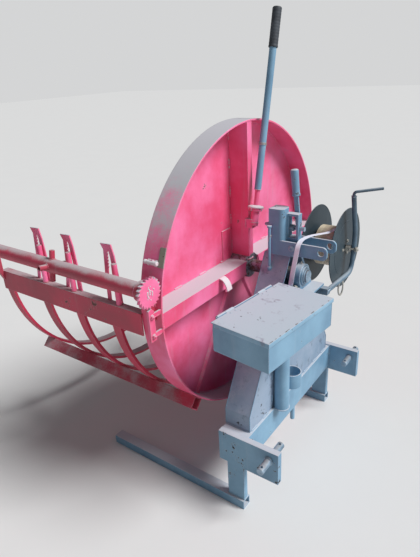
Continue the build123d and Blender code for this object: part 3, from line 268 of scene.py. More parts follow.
def build_brush_mottle() -> None:
    """Broad tone, orange-peel height and drawn streaks of a painted surface."""
    sheet, given, result = open_group(Effect.BRUSH_MOTTLE, {"Scale": 6.0}, ("Tone", "Height", "Streak"))
    place = sheet.place()
    broad = sheet.noise(place, given["Scale"], 6.0, 0.6)
    peel = sheet.noise(place, 420.0, 2.0, 0.5)
    sheet.feed(result["Tone"], broad)
    sheet.feed(result["Height"], sheet.plus(sheet.times(peel, 0.3), broad))
    sheet.feed(result["Streak"], sheet.noise(sheet.drawn(place, (30.0, 30.0, 2.4)), 1.0, 4.0, 0.6))


def build_paint_chips() -> None:
    """Mask of small irregular chips, with a wider rim that has lifted round them."""
    inputs = {"Scale": 26.0, "Density": 0.4}
    sheet, given, result = open_group(Effect.PAINT_CHIPS, inputs, ("Mask", "Rim"))
    place = sheet.place()
    spots = sheet.noise(place, given["Scale"], 4.0, 0.75)
    areas = sheet.noise(place, 2.3, 2.0, 0.5)
    level = sheet.plus(spots, sheet.times(sheet.minus(areas, 0.5), 0.5))
    past = sheet.minus(level, sheet.minus(1.05, given["Density"]))
    sheet.feed(result["Mask"], sheet.ramp(past, 0.03, 0.05))
    sheet.feed(result["Rim"], sheet.ramp(past, 0.0, 0.035))


def build_long_scuffs() -> None:
    """Mask of thin drawn scratches inside broader rubbed patches."""
    sheet, given, result = open_group(Effect.LONG_SCUFFS, {"Scale": 1.0, "Amount": 0.5}, ("Mask",))
    place = sheet.place()
    masks = []
    for turn, stretch in (((0.3, 0.9, 0.5), (4.0, 160.0, 160.0)), ((0.8, -0.4, 0.2), (160.0, 5.0, 160.0))):
        line = sheet.noise(sheet.drawn(place, stretch, turn), given["Scale"], 3.0, 0.6)
        masks.append(sheet.ramp(line, 0.68, 0.74))
    where = sheet.ramp(sheet.noise(place, 4.0, 3.0, 0.6), 0.5, 0.68)
    both = sheet.times(sheet.math("MAXIMUM", masks[0], masks[1]), where)
    sheet.feed(result["Mask"], sheet.times(both, given["Amount"]))


def place_group(sheet: Sheet, effect: Effect, **inputs: float) -> bpy.types.NodeOutputs:
    """Place a shared effect in a material.

    Args:
        sheet: The material's sheet.
        effect: Which group.
        inputs: Its values by name.

    Returns:
        The group's outputs.
    """
    return sheet.node("ShaderNodeGroup", inputs, node_tree=bpy.data.node_groups[effect.value]).outputs


def open_material(name: str) -> tuple[Sheet, bpy.types.Node]:
    """Start a material.

    Args:
        name: The material's name.

    Returns:
        The material's sheet and its shader node.
    """
    material = bpy.data.materials.new(name)
    material.use_nodes = True
    return Sheet(material.node_tree), material.node_tree.nodes["Principled BSDF"]


@dataclass(frozen=True)
class Surface:
    """Colour, roughness and relief of one finish, ready for its shader."""

    colour: Socket
    rough: Socket
    height: Socket
    strength: float
    depth: float
    normal: Socket | None = None

    def link(self, sheet: Sheet, shader: bpy.types.Node) -> None:
        """Feed the shader, with the relief through a bump node.

        Args:
            sheet: The material's sheet.
            shader: Its shader node.
        """
        inputs = {"Strength": self.strength, "Distance": self.depth, "Height": self.height}
        if self.normal is not None:
            inputs["Normal"] = self.normal
        bump = sheet.node("ShaderNodeBump", inputs).outputs[0]
        for name, value in (("Base Color", self.colour), ("Roughness", self.rough), ("Normal", bump)):
            sheet.feed(shader.inputs[name], value)


@dataclass(frozen=True)
class PaintFinish:
    """Faded shop paint on sheet steel with dust, chips, scuffs, stains and rubbed edges."""

    fresh: Colour
    faded: Colour
    dust: Colour
    under: Colour
    edge: Colour = (0.55, 0.52, 0.55, 1.0)
    roughness: float = 0.4
    dust_amount: float = 0.42
    dust_cover: float = 0.97
    chip_density: float = 0.36
    chip_clear: float = 0.7
    rim_share: float = 0.35
    scuff_amount: float = 0.5
    streak_share: float = 0.2
    wear_width: float = 0.003
    wear_share: float = 0.75
    stain: Colour = (0.2, 0.17, 0.24, 1.0)
    stain_share: float = 0.0

    def build(self, name: str) -> None:
        """Make the material.

        Args:
            name: The material's name.
        """
        sheet, shader = open_material(name)
        mottle = place_group(sheet, Effect.BRUSH_MOTTLE, Scale=4.0)
        dust = place_group(sheet, Effect.SETTLED_DUST, Amount=self.dust_amount, Scale=10.0)["Mask"]
        wear = place_group(sheet, Effect.EDGE_WEAR, Width=self.wear_width, Breakup=70.0)
        chips = place_group(sheet, Effect.PAINT_CHIPS, Scale=24.0, Density=self.chip_density)
        scuffs = place_group(sheet, Effect.LONG_SCUFFS, Scale=1.0, Amount=self.scuff_amount)["Mask"]
        bare = chips["Mask"]
        place = sheet.place()
        blots = sheet.ramp(sheet.noise(place, 15.0, 3.0, 0.75), 0.56, 0.7)
        rings = sheet.ramp(sheet.noise(place, 31.0, 2.0, 0.5), 0.43, 0.5)
        colour = sheet.cover(
            sheet.mix(sheet.ramp(mottle["Tone"], 0.32, 0.7), self.fresh, self.faded),
            (sheet.times(sheet.ramp(mottle["Streak"], 0.55, 0.8), self.streak_share), self.dust),
            (scuffs, self.dust),
            (sheet.times(chips["Rim"], self.rim_share), self.dust),
            (sheet.times(wear["Mask"], self.wear_share), self.edge),
            (bare, self.under),
            (sheet.times(dust, self.dust_cover), self.dust),
            (sheet.times(sheet.times(blots, rings), self.stain_share), self.stain),
            (sheet.times(bare, sheet.times(dust, self.chip_clear)), self.under),
        )
        rough = sheet.plus(sheet.times(mottle["Tone"], 0.18), self.roughness)
        rough = sheet.plus(sheet.plus(rough, sheet.times(dust, 0.4)), sheet.times(bare, 0.15))
        height = sheet.minus(mottle["Height"], sheet.times(bare, 0.8))
        height = sheet.plus(height, sheet.times(dust, 0.3))
        Surface(colour, rough, height, 0.3, 0.0008, wear["Soft Normal"]).link(sheet, shader)


@dataclass(frozen=True)
class SteelFinish:
    """Bare or zinc-coated steel with turning marks, dull patches and specks of rust."""

    bright: Colour
    dull: Colour
    rust: Colour
    rust_share: float = 0.3
    roughness: float = 0.34
    metallic: float = 0.8
    grime: Colour = linear(168, 160, 152)

    def build(self, name: str) -> None:
        """Make the material.

        Args:
            name: The material's name.
        """
        sheet, shader = open_material(name)
        mottle = place_group(sheet, Effect.BRUSH_MOTTLE, Scale=16.0)
        dust = place_group(sheet, Effect.SETTLED_DUST, Amount=0.34, Scale=14.0)["Mask"]
        wear = place_group(sheet, Effect.EDGE_WEAR, Width=0.0015, Breakup=90.0)
        chips = place_group(sheet, Effect.PAINT_CHIPS, Scale=60.0, Density=0.3 + self.rust_share / 2)
        colour = sheet.cover(
            sheet.mix(sheet.ramp(mottle["Tone"], 0.35, 0.65), self.bright, self.dull),
            (sheet.times(chips["Rim"], self.rust_share * 2), self.rust),
            (sheet.times(wear["Mask"], 0.6), self.bright),
            (sheet.times(dust, 0.5), self.grime),
        )
        shader.inputs["Metallic"].default_value = self.metallic
        rough = sheet.plus(sheet.times(mottle["Streak"], 0.3), self.roughness)
        rough = sheet.plus(rough, sheet.times(dust, 0.3))
        Surface(colour, rough, mottle["Height"], 0.35, 0.0005, wear["Soft Normal"]).link(sheet, shader)


@dataclass(frozen=True)
class StrapFinish:
    """Embossed packing strap with a fine waffle and grime in broad smears."""

    clean: Colour
    grimy: Colour
    pitch: float = 900.0

    def build(self, name: str) -> None:
        """Make the material.

        Args:
            name: The material's name.
        """
        sheet, shader = open_material(name)
        place = sheet.place()
        waves = []
        for turn in (0.785, -0.785):
            aimed = sheet.drawn(place, (1.0, 1.0, 1.0), (turn, 0.0, turn))
            inputs = {"Vector": aimed, "Scale": self.pitch / 6.283, "Distortion": 0.4}
            waves.append(sheet.node("ShaderNodeTexWave", inputs).outputs["Fac"])
        cloud = sheet.noise(place, 34.0, 5.0, 0.65)
        smear = sheet.noise(place, 8.0, 3.0, 0.6)
        share = sheet.ramp(sheet.plus(sheet.times(cloud, 0.5), smear), 0.68, 1.02)
        rough = sheet.plus(sheet.times(cloud, 0.3), 0.34)
        height = sheet.plus(sheet.times(sheet.times(waves[0], waves[1]), 0.5), cloud)
        Surface(sheet.mix(share, self.clean, self.grimy), rough, height, 0.3, 0.0005).link(sheet, shader)


@dataclass(frozen=True)
class RubberFinish:
    """Moulded grip with a matt skin, rubbed edges and dust on top."""

    skin: Colour
    rubbed: Colour
    edge: Colour = linear(118, 120, 124)
    dust: Colour = linear(140, 136, 134)

    def build(self, name: str) -> None:
        """Make the material.

        Args:
            name: The material's name.
        """
        sheet, shader = open_material(name)
        mottle = place_group(sheet, Effect.BRUSH_MOTTLE, Scale=22.0)
        dust = place_group(sheet, Effect.SETTLED_DUST, Amount=0.36, Scale=20.0)["Mask"]
        wear = place_group(sheet, Effect.EDGE_WEAR, Width=0.003, Breakup=120.0)["Mask"]
        colour = sheet.cover(
            sheet.mix(sheet.ramp(mottle["Tone"], 0.35, 0.7), self.skin, self.rubbed),
            (sheet.times(wear, 0.5), self.edge),
            (sheet.times(dust, 0.7), self.dust),
        )
        rough = sheet.plus(sheet.times(mottle["Tone"], 0.3), 0.5)
        Surface(colour, rough, mottle["Height"], 0.4, 0.0006).link(sheet, shader)


class Coat(Enum):
    """Every finish on the machine."""

    RED_PAINT = "red paint"
    SHADED_CRADLE_PAINT = "shaded cradle paint"
    DUSTED_AND_LIT_PAINT = "dusted and lit paint"
    GREY_PAINT = "grey paint"
    TOWER_PAINT = "tower paint"
    LID_PAINT = "lid paint"
    REEL_PAINT = "reel paint"
    ARM_PAINT = "arm paint"
    BLACK_GRIP = "black grip"
    BARE_STEEL = "bare steel"
    BRIGHT_STEEL = "bright steel"
    ZINC = "zinc plating"
    STRAP = "strap plastic"
    STRAP_TAIL = "strap tail plastic"
    WORN_PRIMER = "worn primer"


FINISHES = {
    Coat.RED_PAINT: PaintFinish(
        linear(231, 80, 122), linear(250, 130, 178), linear(190, 192, 198), linear(124, 82, 78),
        linear(236, 186, 200), roughness=0.38, dust_amount=0.5, chip_density=0.34, scuff_amount=0.4,
    ),
    # Darker, browner copy of the red paint with less dust: painted shade for the cradle's bars, rails,
    # channels and windlass, which lie in shadow.
    Coat.SHADED_CRADLE_PAINT: PaintFinish(
        linear(200, 52, 84), linear(166, 62, 80), linear(180, 166, 170), linear(96, 56, 52),
        linear(222, 150, 166), roughness=0.42, dust_amount=0.36, chip_density=0.37, scuff_amount=0.6,
    ),
    # Pale copy of the red paint for small parts: settled dust, and partly painted light where they catch the
    # light, as on the ratchet wheel's face and the tongue's top.
    Coat.DUSTED_AND_LIT_PAINT: PaintFinish(
        linear(238, 196, 208), linear(228, 212, 220), linear(214, 212, 216), linear(190, 120, 136),
        linear(240, 228, 232), roughness=0.5, dust_amount=0.6, chip_density=0.4, scuff_amount=0.5,
    ),
    Coat.GREY_PAINT: PaintFinish(
        linear(104, 142, 170), linear(132, 172, 198), linear(190, 196, 204), linear(46, 46, 52),
        linear(190, 204, 220), roughness=0.42, dust_amount=0.4, chip_density=0.385, scuff_amount=0.6,
    ),
    Coat.TOWER_PAINT: PaintFinish(
        linear(122, 146, 170), linear(156, 172, 192), linear(176, 184, 196), linear(40, 42, 50),
        linear(196, 208, 222), roughness=0.46, dust_amount=0.44, chip_density=0.41, scuff_amount=0.6,
        stain=linear(62, 76, 94), stain_share=0.5,
    ),
    Coat.LID_PAINT: PaintFinish(
        linear(120, 158, 186), linear(146, 184, 208), linear(182, 194, 204), linear(60, 58, 64),
        linear(178, 196, 212), roughness=0.46, dust_amount=0.52, chip_density=0.43, scuff_amount=0.7,
        stain_share=0.62,
    ),
    Coat.REEL_PAINT: PaintFinish(
        linear(34, 50, 60), linear(54, 72, 82), linear(112, 122, 130), linear(92, 86, 82),
        linear(108, 124, 134), roughness=0.44, dust_amount=0.3, chip_density=0.34, scuff_amount=0.5,
        wear_width=0.002,
    ),
    Coat.ARM_PAINT: PaintFinish(
        linear(72, 92, 108), linear(108, 136, 158), linear(146, 158, 168), linear(70, 66, 66),
        linear(140, 160, 176), roughness=0.44, dust_amount=0.4, chip_density=0.36, scuff_amount=0.5,
    ),
    Coat.BLACK_GRIP: RubberFinish(linear(50, 54, 60), linear(72, 78, 86)),
    Coat.BARE_STEEL: SteelFinish(
        linear(166, 172, 186), linear(108, 110, 120), linear(100, 66, 48), rust_share=0.4
    ),
    Coat.BRIGHT_STEEL: SteelFinish(
        linear(168, 190, 208), linear(116, 140, 160), linear(90, 80, 76), rust_share=0.15, roughness=0.36,
        metallic=0.45,
    ),
    Coat.ZINC: SteelFinish(
        linear(206, 204, 196), linear(166, 164, 158), linear(132, 96, 66), rust_share=0.2, roughness=0.38,
        metallic=0.6,
    ),
    Coat.STRAP: StrapFinish(linear(222, 208, 182), linear(150, 126, 102)),
    Coat.STRAP_TAIL: StrapFinish(linear(234, 240, 252), linear(204, 208, 224)),
    Coat.WORN_PRIMER: PaintFinish(
        linear(126, 126, 114), linear(148, 144, 132), linear(188, 180, 176), linear(96, 70, 58),
        roughness=0.6, dust_amount=0.4, chip_density=0.46, scuff_amount=0.6,
    ),
}
SLOT_COATS = {
    Slot.RED_PAINT: Coat.RED_PAINT,
    Slot.GREY_PAINT: Coat.GREY_PAINT,
    Slot.REEL_PAINT: Coat.REEL_PAINT,
    Slot.BLACK_GRIP: Coat.BLACK_GRIP,
    Slot.BARE_STEEL: Coat.BARE_STEEL,
    Slot.STRAP_PLASTIC: Coat.STRAP,
}
COAT_SLOTS = {
    **{coat: slot for slot, coat in SLOT_COATS.items()},
    **dict.fromkeys((Coat.SHADED_CRADLE_PAINT, Coat.DUSTED_AND_LIT_PAINT), Slot.RED_PAINT),
    **dict.fromkeys((Coat.TOWER_PAINT, Coat.ARM_PAINT, Coat.LID_PAINT, Coat.WORN_PRIMER), Slot.GREY_PAINT),
    **dict.fromkeys((Coat.BRIGHT_STEEL, Coat.ZINC), Slot.BARE_STEEL),
    Coat.STRAP_TAIL: Slot.STRAP_PLASTIC,
}
CRADLE_NODES = (
    "windlass_tube", "windlass_eyes", "cradle_arc_1", "cradle_arc_2", "cradle_arc_3", "cradle_arc_4",
    "bottom_rail_right", "bottom_rail_left", "side_channel_right", "side_channel_left",
)
NODE_COATS = {
    # The cradle's pieces take the copy of the red paint that is darkened with painted shade.
    **dict.fromkeys(CRADLE_NODES, Coat.SHADED_CRADLE_PAINT),
    **dict.fromkeys(("link_pin_right", "link_pin_left", "lock_bolt"), Coat.BRIGHT_STEEL),
    **dict.fromkeys(("front_bearing", "upright_pin"), Coat.GREY_PAINT),
    "bin_lid": Coat.LID_PAINT,
    "tower": Coat.TOWER_PAINT,
    "reel_axle": Coat.ZINC,
    "reel_arm": Coat.ARM_PAINT,
}


# Mesh building


def turns(count: int) -> list[float]:
    """Angles in radians of points spread evenly round a circle."""
    return [2 * math.pi * i / count for i in range(count)]


def stand(name: str, data: bpy.types.ID) -> bpy.types.Object:
    """Put a new object into the scene.

    Args:
        name: The object's name.
        data: Its mesh, camera or lamp.

    Returns:
        The object.
    """
    made = bpy.data.objects.new(name, data)
    bpy.context.scene.collection.objects.link(made)
    return made


@dataclass(frozen=True)
class Datum:
    """Frame the sizes are given in: the pan rim's free edge, the drum shaft and heights above it."""

    edge_x: float
    shaft_y: float

    def at(self, x: float, y: float, rise: float) -> Vector:
        """Turn millimetres in the making frame into a point in metres."""
        return Vector((self.edge_x + x * MM, self.shaft_y + y * MM, (SHAFT_HEIGHT + rise) * MM))

    def line(self, *places: Point) -> list[Vector]:
        """Turn several places into points."""
        return [self.at(*place) for place in places]

    def loop(self, middle: Point, first: Point, second: Point, angles: list[float]) -> list[Vector]:
        """Points of a circle or an ellipse.

        Args:
            middle: Its middle.
            first: Half axis at angle 0.
            second: Half axis a quarter turn further.
            angles: Angles in radians.

        Returns:
            The points.
        """
        axes = list(zip(middle, first, second))
        return [self.at(*(m + a * math.cos(t) + b * math.sin(t) for m, a, b in axes)) for t in angles]

    def hoop(self, middle: Point, radius: float, angles: list[float]) -> list[Vector]:
        """Circle about an axis along X, from straight up towards the left side."""
        return self.loop(middle, (0.0, 0.0, radius), (0.0, radius, 0.0), angles)

    def disc(self, middle: Point, radius: float, angles: list[float]) -> list[Vector]:
        """Circle about an upright axis, from the tractor's end towards the left side."""
        return self.loop(middle, (radius, 0.0, 0.0), (0.0, radius, 0.0), angles)

    def ring(
        self, x: float, radius: float, start: float = 0.0, end: float = 360.0, step: float = 4.0
    ) -> list[Vector]:
        """Points round the drum shaft, with angles in degrees from straight up towards the left side.

        Args:
            x: Place along the shaft.
            radius: Distance from the shaft.
            start: First angle.
            end: Last angle.
            step: Angle between points.

        Returns:
            The points, without a repeated last one for a whole turn.
        """
        whole = abs(end - start) >= 360.0
        count = max(2, round(abs(end - start) / step))
        steps = range(count if whole else count + 1)
        angles = [math.radians(start + (end - start) * i / count) for i in steps]
        return self.hoop((x, 0.0, 0.0), radius, angles)


class Forge:
    """Mesh in the making for one piece, with radii in millimetres and points in metres."""

    def __init__(self, seed: int) -> None:
        """Start an empty mesh.

        Args:
            seed: Seed for what is uneven on this piece.
        """
        self.mesh = bmesh.new()
        self.random = random.Random(seed)

    def skin(self, rows: list[list[Vector]], closed: bool = False) -> None:
        """Join rows of points into a tube with ends.

        Args:
            rows: Rows with the same count of points.
            closed: True to join the last row to the first.
        """
        made = [[self.mesh.verts.new(point) for point in row] for row in rows]
        pairs = list(zip(made, made[1:]))
        if closed:
            pairs.append((made[-1], made[0]))
        for low, high in pairs:
            for i, vertex in enumerate(low):
                after = (i + 1) % len(low)
                self.mesh.faces.new((vertex, low[after], high[after], high[i]))
        if not closed:
            self.mesh.faces.new(tuple(reversed(made[0])))
            self.mesh.faces.new(tuple(made[-1]))

    def lathe(self, foot: Vector, axis: Vector, profile: Profile, sides: int = 24, turn: float = 0.0) -> None:
        """Turn a profile about an axis.

        Args:
            foot: Where the axis starts.
            axis: Its direction.
            profile: Radius and distance along the axis, in order.
            sides: Points round the axis.
            turn: Angle of the first point in degrees.
        """
        ahead = axis.normalized()
        across = ahead.orthogonal().normalized()
        other = ahead.cross(across)
        angles = [t + math.radians(turn) for t in turns(sides)]
        rows = []
        for radius, along in profile:
            size = max(radius, SHARP_RADIUS) * MM
            middle = foot + ahead * along * MM
            rows.append([middle + (across * math.cos(t) + other * math.sin(t)) * size for t in angles])
        self.skin(rows)

    def tube(self, points: list[Vector], radii: list[float], sides: int = 8, closed: bool = False) -> None:
        """Tube along points.

        Args:
            points: The middle line.
            radii: Radius at each point.
            sides: Points round the tube.
            closed: True for a ring.
        """
        count = len(points)
        angles = turns(sides)
        rows = []
        across = None
        for i, point in enumerate(points):
            before = points[(i - 1) % count] if closed or i else point
            after = points[(i + 1) % count] if closed or i < count - 1 else point
            ahead = (after - before).normalized()
            across = ahead.orthogonal() if across is None else across - ahead * across.dot(ahead)
            across.normalize()
            other = ahead.cross(across)
            size = radii[i] * MM
            rows.append([point + (across * math.cos(t) + other * math.sin(t)) * size for t in angles])
        self.skin(rows, closed)

    def wire(self, points: list[Vector], radius: float, sides: int = 8, closed: bool = False) -> None:
        """Tube of one radius along points."""
        self.tube(points, [radius] * len(points), sides, closed)

    def bead(
        self, points: list[Vector], radius: float, closed: bool = False, pitch: float = WELD_PITCH
    ) -> None:
        """Weld bead with scaly ripples along points.

        Args:
            points: The seam's line.
            radius: Half the bead's width.
            closed: True for a ring.
            pitch: Length of one ripple.
        """
        line = points + [points[0]] if closed else points
        spots: list[Vector] = []
        for start, end in zip(line, line[1:]):
            count = max(1, round((end - start).length / (pitch * MM / 2)))
            spots.extend(start.lerp(end, k / count) for k in range(count))
        if not closed:
            spots.append(line[-1])
        crests = [1.0 if i % 2 else 0.8 for i in range(len(spots))]
        radii = [radius * crest * self.random.uniform(0.88, 1.12) for crest in crests]
        if not closed:
            radii[0] = radii[-1] = radius * 0.4
        self.tube(spots, radii, 6, closed)

    def seams(self, datum: Datum, *table: tuple[float, Point, Point]) -> None:
        """Straight beads, each given by its radius and its two ends."""
        for radius, start, end in table:
            self.bead(datum.line(start, end), radius)

    def stitches(self, start: Vector, end: Vector, length: float, count: int, radius: float) -> None:
        """Row of short beads from one point to another.

        Args:
            start: Start of the first bead.
            end: End of the last bead.
            length: Length of each bead in millimetres.
            count: How many.
            radius: Half the bead's width.
        """
        ahead = (end - start).normalized() * length * MM
        for i in range(count):
            foot = start.lerp(end - ahead, i / max(1, count - 1)) + ahead * self.random.uniform(-0.15, 0.15)
            self.bead([foot, foot + ahead], radius)

    def bolt(self, foot: Vector, axis: Vector, size: float, stem: float = 0.0) -> None:
        """Hexagon head on a washer, with a stem's end on top where one is asked for.

        Args:
            foot: Where the washer lies.
            axis: Direction away from the surface.
            size: Thread size in millimetres.
            stem: How far the thread's end stands above the head.
        """
        low = size * 0.2
        high = low + size * 0.72
        washer = [(size * 1.05, -0.3), (size * 1.1, 0.4), (size * 1.1, size * 0.18), (size, size * 0.22)]
        flat = size * 0.98
        head = [(size * 0.93, low), (flat, low + 0.3), (flat, high - size * 0.1), (size * 0.8, high)]
        self.lathe(foot, axis, washer, 20)
        self.lathe(foot, axis, head, 6, self.random.uniform(0, 60))
        if stem:
            thread = [(size * 0.48, high - 1), (size * 0.48, high + stem - 1), (size * 0.38, high + stem)]
            self.lathe(foot, axis, thread, 14)

    def slab(self, corners: list[Vector], depth: Vector) -> None:
        """Plate from an outline, thickened along a vector."""
        self.skin([corners, [corner + depth for corner in corners]])

    def piece(self, name: str, body: str, coat: Coat, replaced: tuple[str, ...] = ()) -> bpy.types.Object:
        """Turn the mesh into a piece of the machine.

        Args:
            name: The piece's name.
            body: The body that it rides on.
            coat: Its finish.
            replaced: CAD nodes that it stands for.

        Returns:
            The new object.
        """
        bmesh.ops.recalc_face_normals(self.mesh, faces=self.mesh.faces)
        for edge in self.mesh.edges:
            edge.smooth = len(edge.link_faces) < 2 or edge.calc_face_angle(0.0) < SMOOTH_ANGLE
        for face in self.mesh.faces:
            face.smooth = True
        data = bpy.data.meshes.new(name)
        self.mesh.to_mesh(data)
        self.mesh.free()
        made = stand(name, data)
        data.materials.append(bpy.data.materials[coat.value])
        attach(made, body)
        if replaced:
            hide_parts(*replaced)
        log.info("built %s: %d faces on %s", name, len(data.polygons), body)
        return made


@dataclass
class DrumPan:
    """Welds, patch plate, tongue and stop bar of the pan and its two members."""

    datum: Datum
    radius: float = 575.0
    inner: float = 569.0
    floor_x: float = -85.0
    front_x: float = -1.0
    cross_low: float = -27.5
    cross_high: float = 31.5
    upright_right: float = -25.0
    upright_left: float = 7.0
    upright_foot: float = 33.0
    upright_top: float = 567.5
    hub: float = 50.5
    hub_x: float = -6.5
    hub_arcs: Pairs = ((238, 302), (58, 122), (-20, 14))
    patch: Pairs = ((-92.0, 31.0), (-25.5, 31.0), (-25.5, 150.0), (-33.0, 157.0), (-92.0, 157.0))
    patch_depth: float = 4.5
    patch_seam: Pairs = ((-92.5, 34), (-92.5, 157.5), (-34, 157.5))
    tongue_ys: tuple[float, ...] = (-243.0, -242.0, -212.0, -211.0)
    plate_xs: tuple[float, float] = (-22.0, 1.0)
    plate_angles: tuple[float, float] = (-71.5, -65.0)
    stop_angle: float = -70.4
    stop_foot: float = -76.0
    tack_xs: tuple[float, float] = (-60.0, -30.0)
    tack_half: float = 6.0
    tack_spread: float = 0.0145

    def build(self) -> None:
        """Build every weld and small plate on the pan."""
        self.build_welds()
        self.build_stop()
        self.build_tongue()

    def build_welds(self) -> None:
        """Build the beads round the floor, the hub and the members, and the flat patch."""
        at, ring = self.datum.at, self.datum.ring
        floor, front, low, high = self.floor_x, self.front_x, self.cross_low, self.cross_high
        welds = Forge(11)
        welds.bead(ring(floor + 1, self.inner - 1), 3.0, closed=True, pitch=5.0)
        welds.bead(ring(floor - 4, self.inner + 1), 2.0, closed=True, pitch=5.0)
        for start, end in self.hub_arcs:
            welds.bead(ring(self.hub_x, self.hub, start, end), 3.2)
        for side in (-1, 1):
            for rise in (low, high):
                seam = rise + math.copysign(1.0, rise)
                reach = math.sqrt(self.inner**2 - rise**2) - 1.0
                far = at(floor + 1, side * (reach - 12), seam)
                welds.stitches(at(floor + 1, side * 70, seam), far, 42, 4, 4.4)
                near = (floor + 2, side * reach, seam)
                welds.seams(self.datum, (3.4, near, (front - 2, side * reach, seam)))
            end = side * (self.inner - 1.5)
            welds.seams(self.datum, (3.0, (front - 1, end, low), (front - 1, end, high)))
        foot, top = self.upright_foot, self.upright_top
        for y in (self.upright_right - 1.0, self.upright_left + 1.0):
            welds.stitches(at(floor + 1, y, 70), at(floor + 1, y, 545), 38, 5, 4.2)
            welds.seams(
                self.datum,
                (3.4, (floor + 2, y, top), (front - 2, y, top)),
                (3.2, (floor + 2, y, foot), (front - 1, y, foot)),
            )
        welds.seams(
            self.datum,
            (3.0, (front - 0.5, self.upright_right, foot), (front - 0.5, self.upright_left, foot)),
            (2.4, (front - 1, -199, low), (front - 1, -175, low)),
        )
        welds.slab([at(floor - 1, y, rise) for y, rise in self.patch], X_AXIS * self.patch_depth * MM)
        welds.bead([at(floor + 1.5, y, rise) for y, rise in self.patch_seam], 2.4)
        welds.piece("pan_welds", "drum", Coat.RED_PAINT)

    def build_tongue(self) -> None:
        """Curved tongue that stands out from the cross member's top edge."""
        tongue = Forge(14)
        outer = [(-1.0, 30.5), (8.0, 30.0), (17.0, 25.0), (25.5, 15.0), (32.0, 2.0), (36.0, -15.0)]
        inner = [(-1.0, 26.5), (6.8, 26.1), (14.4, 21.9), (22.2, 12.6), (28.3, 0.6), (32.1, -14.2)]
        outline = outer + inner[::-1]
        tongue.skin([[self.datum.at(x, y, rise) for x, rise in outline] for y in self.tongue_ys])
        tongue.bead([self.datum.at(0.5, y, 25.4) for y in self.tongue_ys[1:3]], 2.4)
        # Pale paint on the tongue: dust on its top, partly painted light.
        tongue.piece("member_tongue", "drum", Coat.DUSTED_AND_LIT_PAINT)

    def build_stop(self) -> None:
        """Small bare plate and stop bar on the rim's outside."""
        plate = Forge(12)
        start, end = self.plate_angles
        rows = []
        for x in self.plate_xs:
            outer = self.datum.ring(x, self.radius + 3.2, start, end, 1.3)
            inner = self.datum.ring(x, self.radius - 0.6, end, start, 1.3)
            rows.append(outer + inner)
        plate.skin(rows)
        plate.piece("rim_patch_plate", "drum", Coat.WORN_PRIMER)
        bar = Forge(13)
        turn = math.radians(self.stop_angle)
        head = [(5.2, 0.0), (7.6, 2.4), (7.6, 9.0), (6.4, 10.0)]
        shank = [(6.4, 14.0), (7.8, 15.0), (7.8, 54.0), (6.0, 56.0)]
        foot = self.datum.hoop((self.stop_foot, 0.0, 0.0), self.radius + 8.0, [turn])[0]
        bar.lathe(foot, X_AXIS, head + shank, 20)
        half = X_AXIS * self.tack_half * MM
        both = [turn - self.tack_spread, turn + self.tack_spread]
        for x in self.tack_xs:
            for spot in self.datum.hoop((x, 0.0, 0.0), self.radius + 2.5, both):
                bar.bead([spot - half, spot + half], 2.6)
        bar.piece("rim_stop_bar", "drum", Coat.DUSTED_AND_LIT_PAINT)


@dataclass
class Cradle:
    """Welds between the half-round bars, rails, channels, hooks and posts."""

    datum: Datum
    arc_xs: tuple[float, ...] = (-230.0, -425.0, -625.0, -870.0)
    arc_half: float = 20.0
    arc_radius: float = 575.0
    arc_ends: Pairs = ((573.5, -52), (575.0, 4))
    rail_angle: float = 44.0
    rail_half: float = 25.0
    rail_end: tuple[float, float] = (-84.0, -16.0)
    channel_x: float = -89.5
    channel_corner: Pairs = ((580, -70), (580, 11), (549, 11))
    hook_feet: Pairs = ((-612.0, -66.0), (-434.0, -68.0), (-223.0, -50.0))
    hook_sides: tuple[float, float] = (-553.6, -547.4)
    post_xs: tuple[float, ...] = (-611.0, -442.0, -205.0)
    post_y: float = -564.0
    post_top: float = 164.6

    def on_rail(self, side: int, x: float, across: float, radius: float) -> Vector:
        """Point in a rail's own frame, turned to its place under the bars.

        Args:
            side: 1 for the left rail, -1 for the right one.
            x: Place along the shaft.
            across: Distance from the rail's middle.
            radius: Distance from the shaft.

        Returns:
            The point.
        """
        turn = math.radians(side * self.rail_angle)
        y = across * math.cos(turn) + radius * math.sin(turn)
        rise = across * math.sin(turn) - radius * math.cos(turn)
        return self.datum.at(x, y, rise)

    def build(self) -> None:
        """Build the cradle's welds and the posts' rounded tops."""
        at, line = self.datum.at, self.datum.line
        welds = Forge(21)
        for side in (-1, 1):
            for x in self.arc_xs:
                for seam in (x - (self.arc_half + 0.6), x + (self.arc_half + 0.6)):
                    welds.bead([self.on_rail(side, seam, t, self.arc_radius) for t in (-21.0, 21.0)], 3.2)
                    welds.bead([at(seam, side * y, rise) for y, rise in self.arc_ends], 3.0)
            for across in (-self.rail_half, self.rail_half):
                welds.bead([self.on_rail(side, x, across, self.arc_radius + 1) for x in self.rail_end], 3.0)
            welds.bead([at(self.channel_x, side * y, rise) for y, rise in self.channel_corner], 3.0)
        for corner_x, rear in self.hook_feet:
            for left, width in ((corner_x + 2.0, 20.0), (corner_x + rear, 16.0)):
                for y in self.hook_sides:
                    welds.bead(line((left, y, 12.5), (left + width, y, 12.5)), 2.4)
        for x in self.post_xs:
            welds.bead(self.datum.disc((x, self.post_y, 13.0), 10.4, turns(18)), 2.6, closed=True)
            welds.lathe(at(x, self.post_y, self.post_top), Z_AXIS, [(9.8, 0.0), (8.6, 1.6), (5.0, 2.0)], 20)
        # The cradle's welds take the red paint darkened with painted shade.
        welds.piece("cradle_welds", "drum", Coat.SHADED_CRADLE_PAINT)


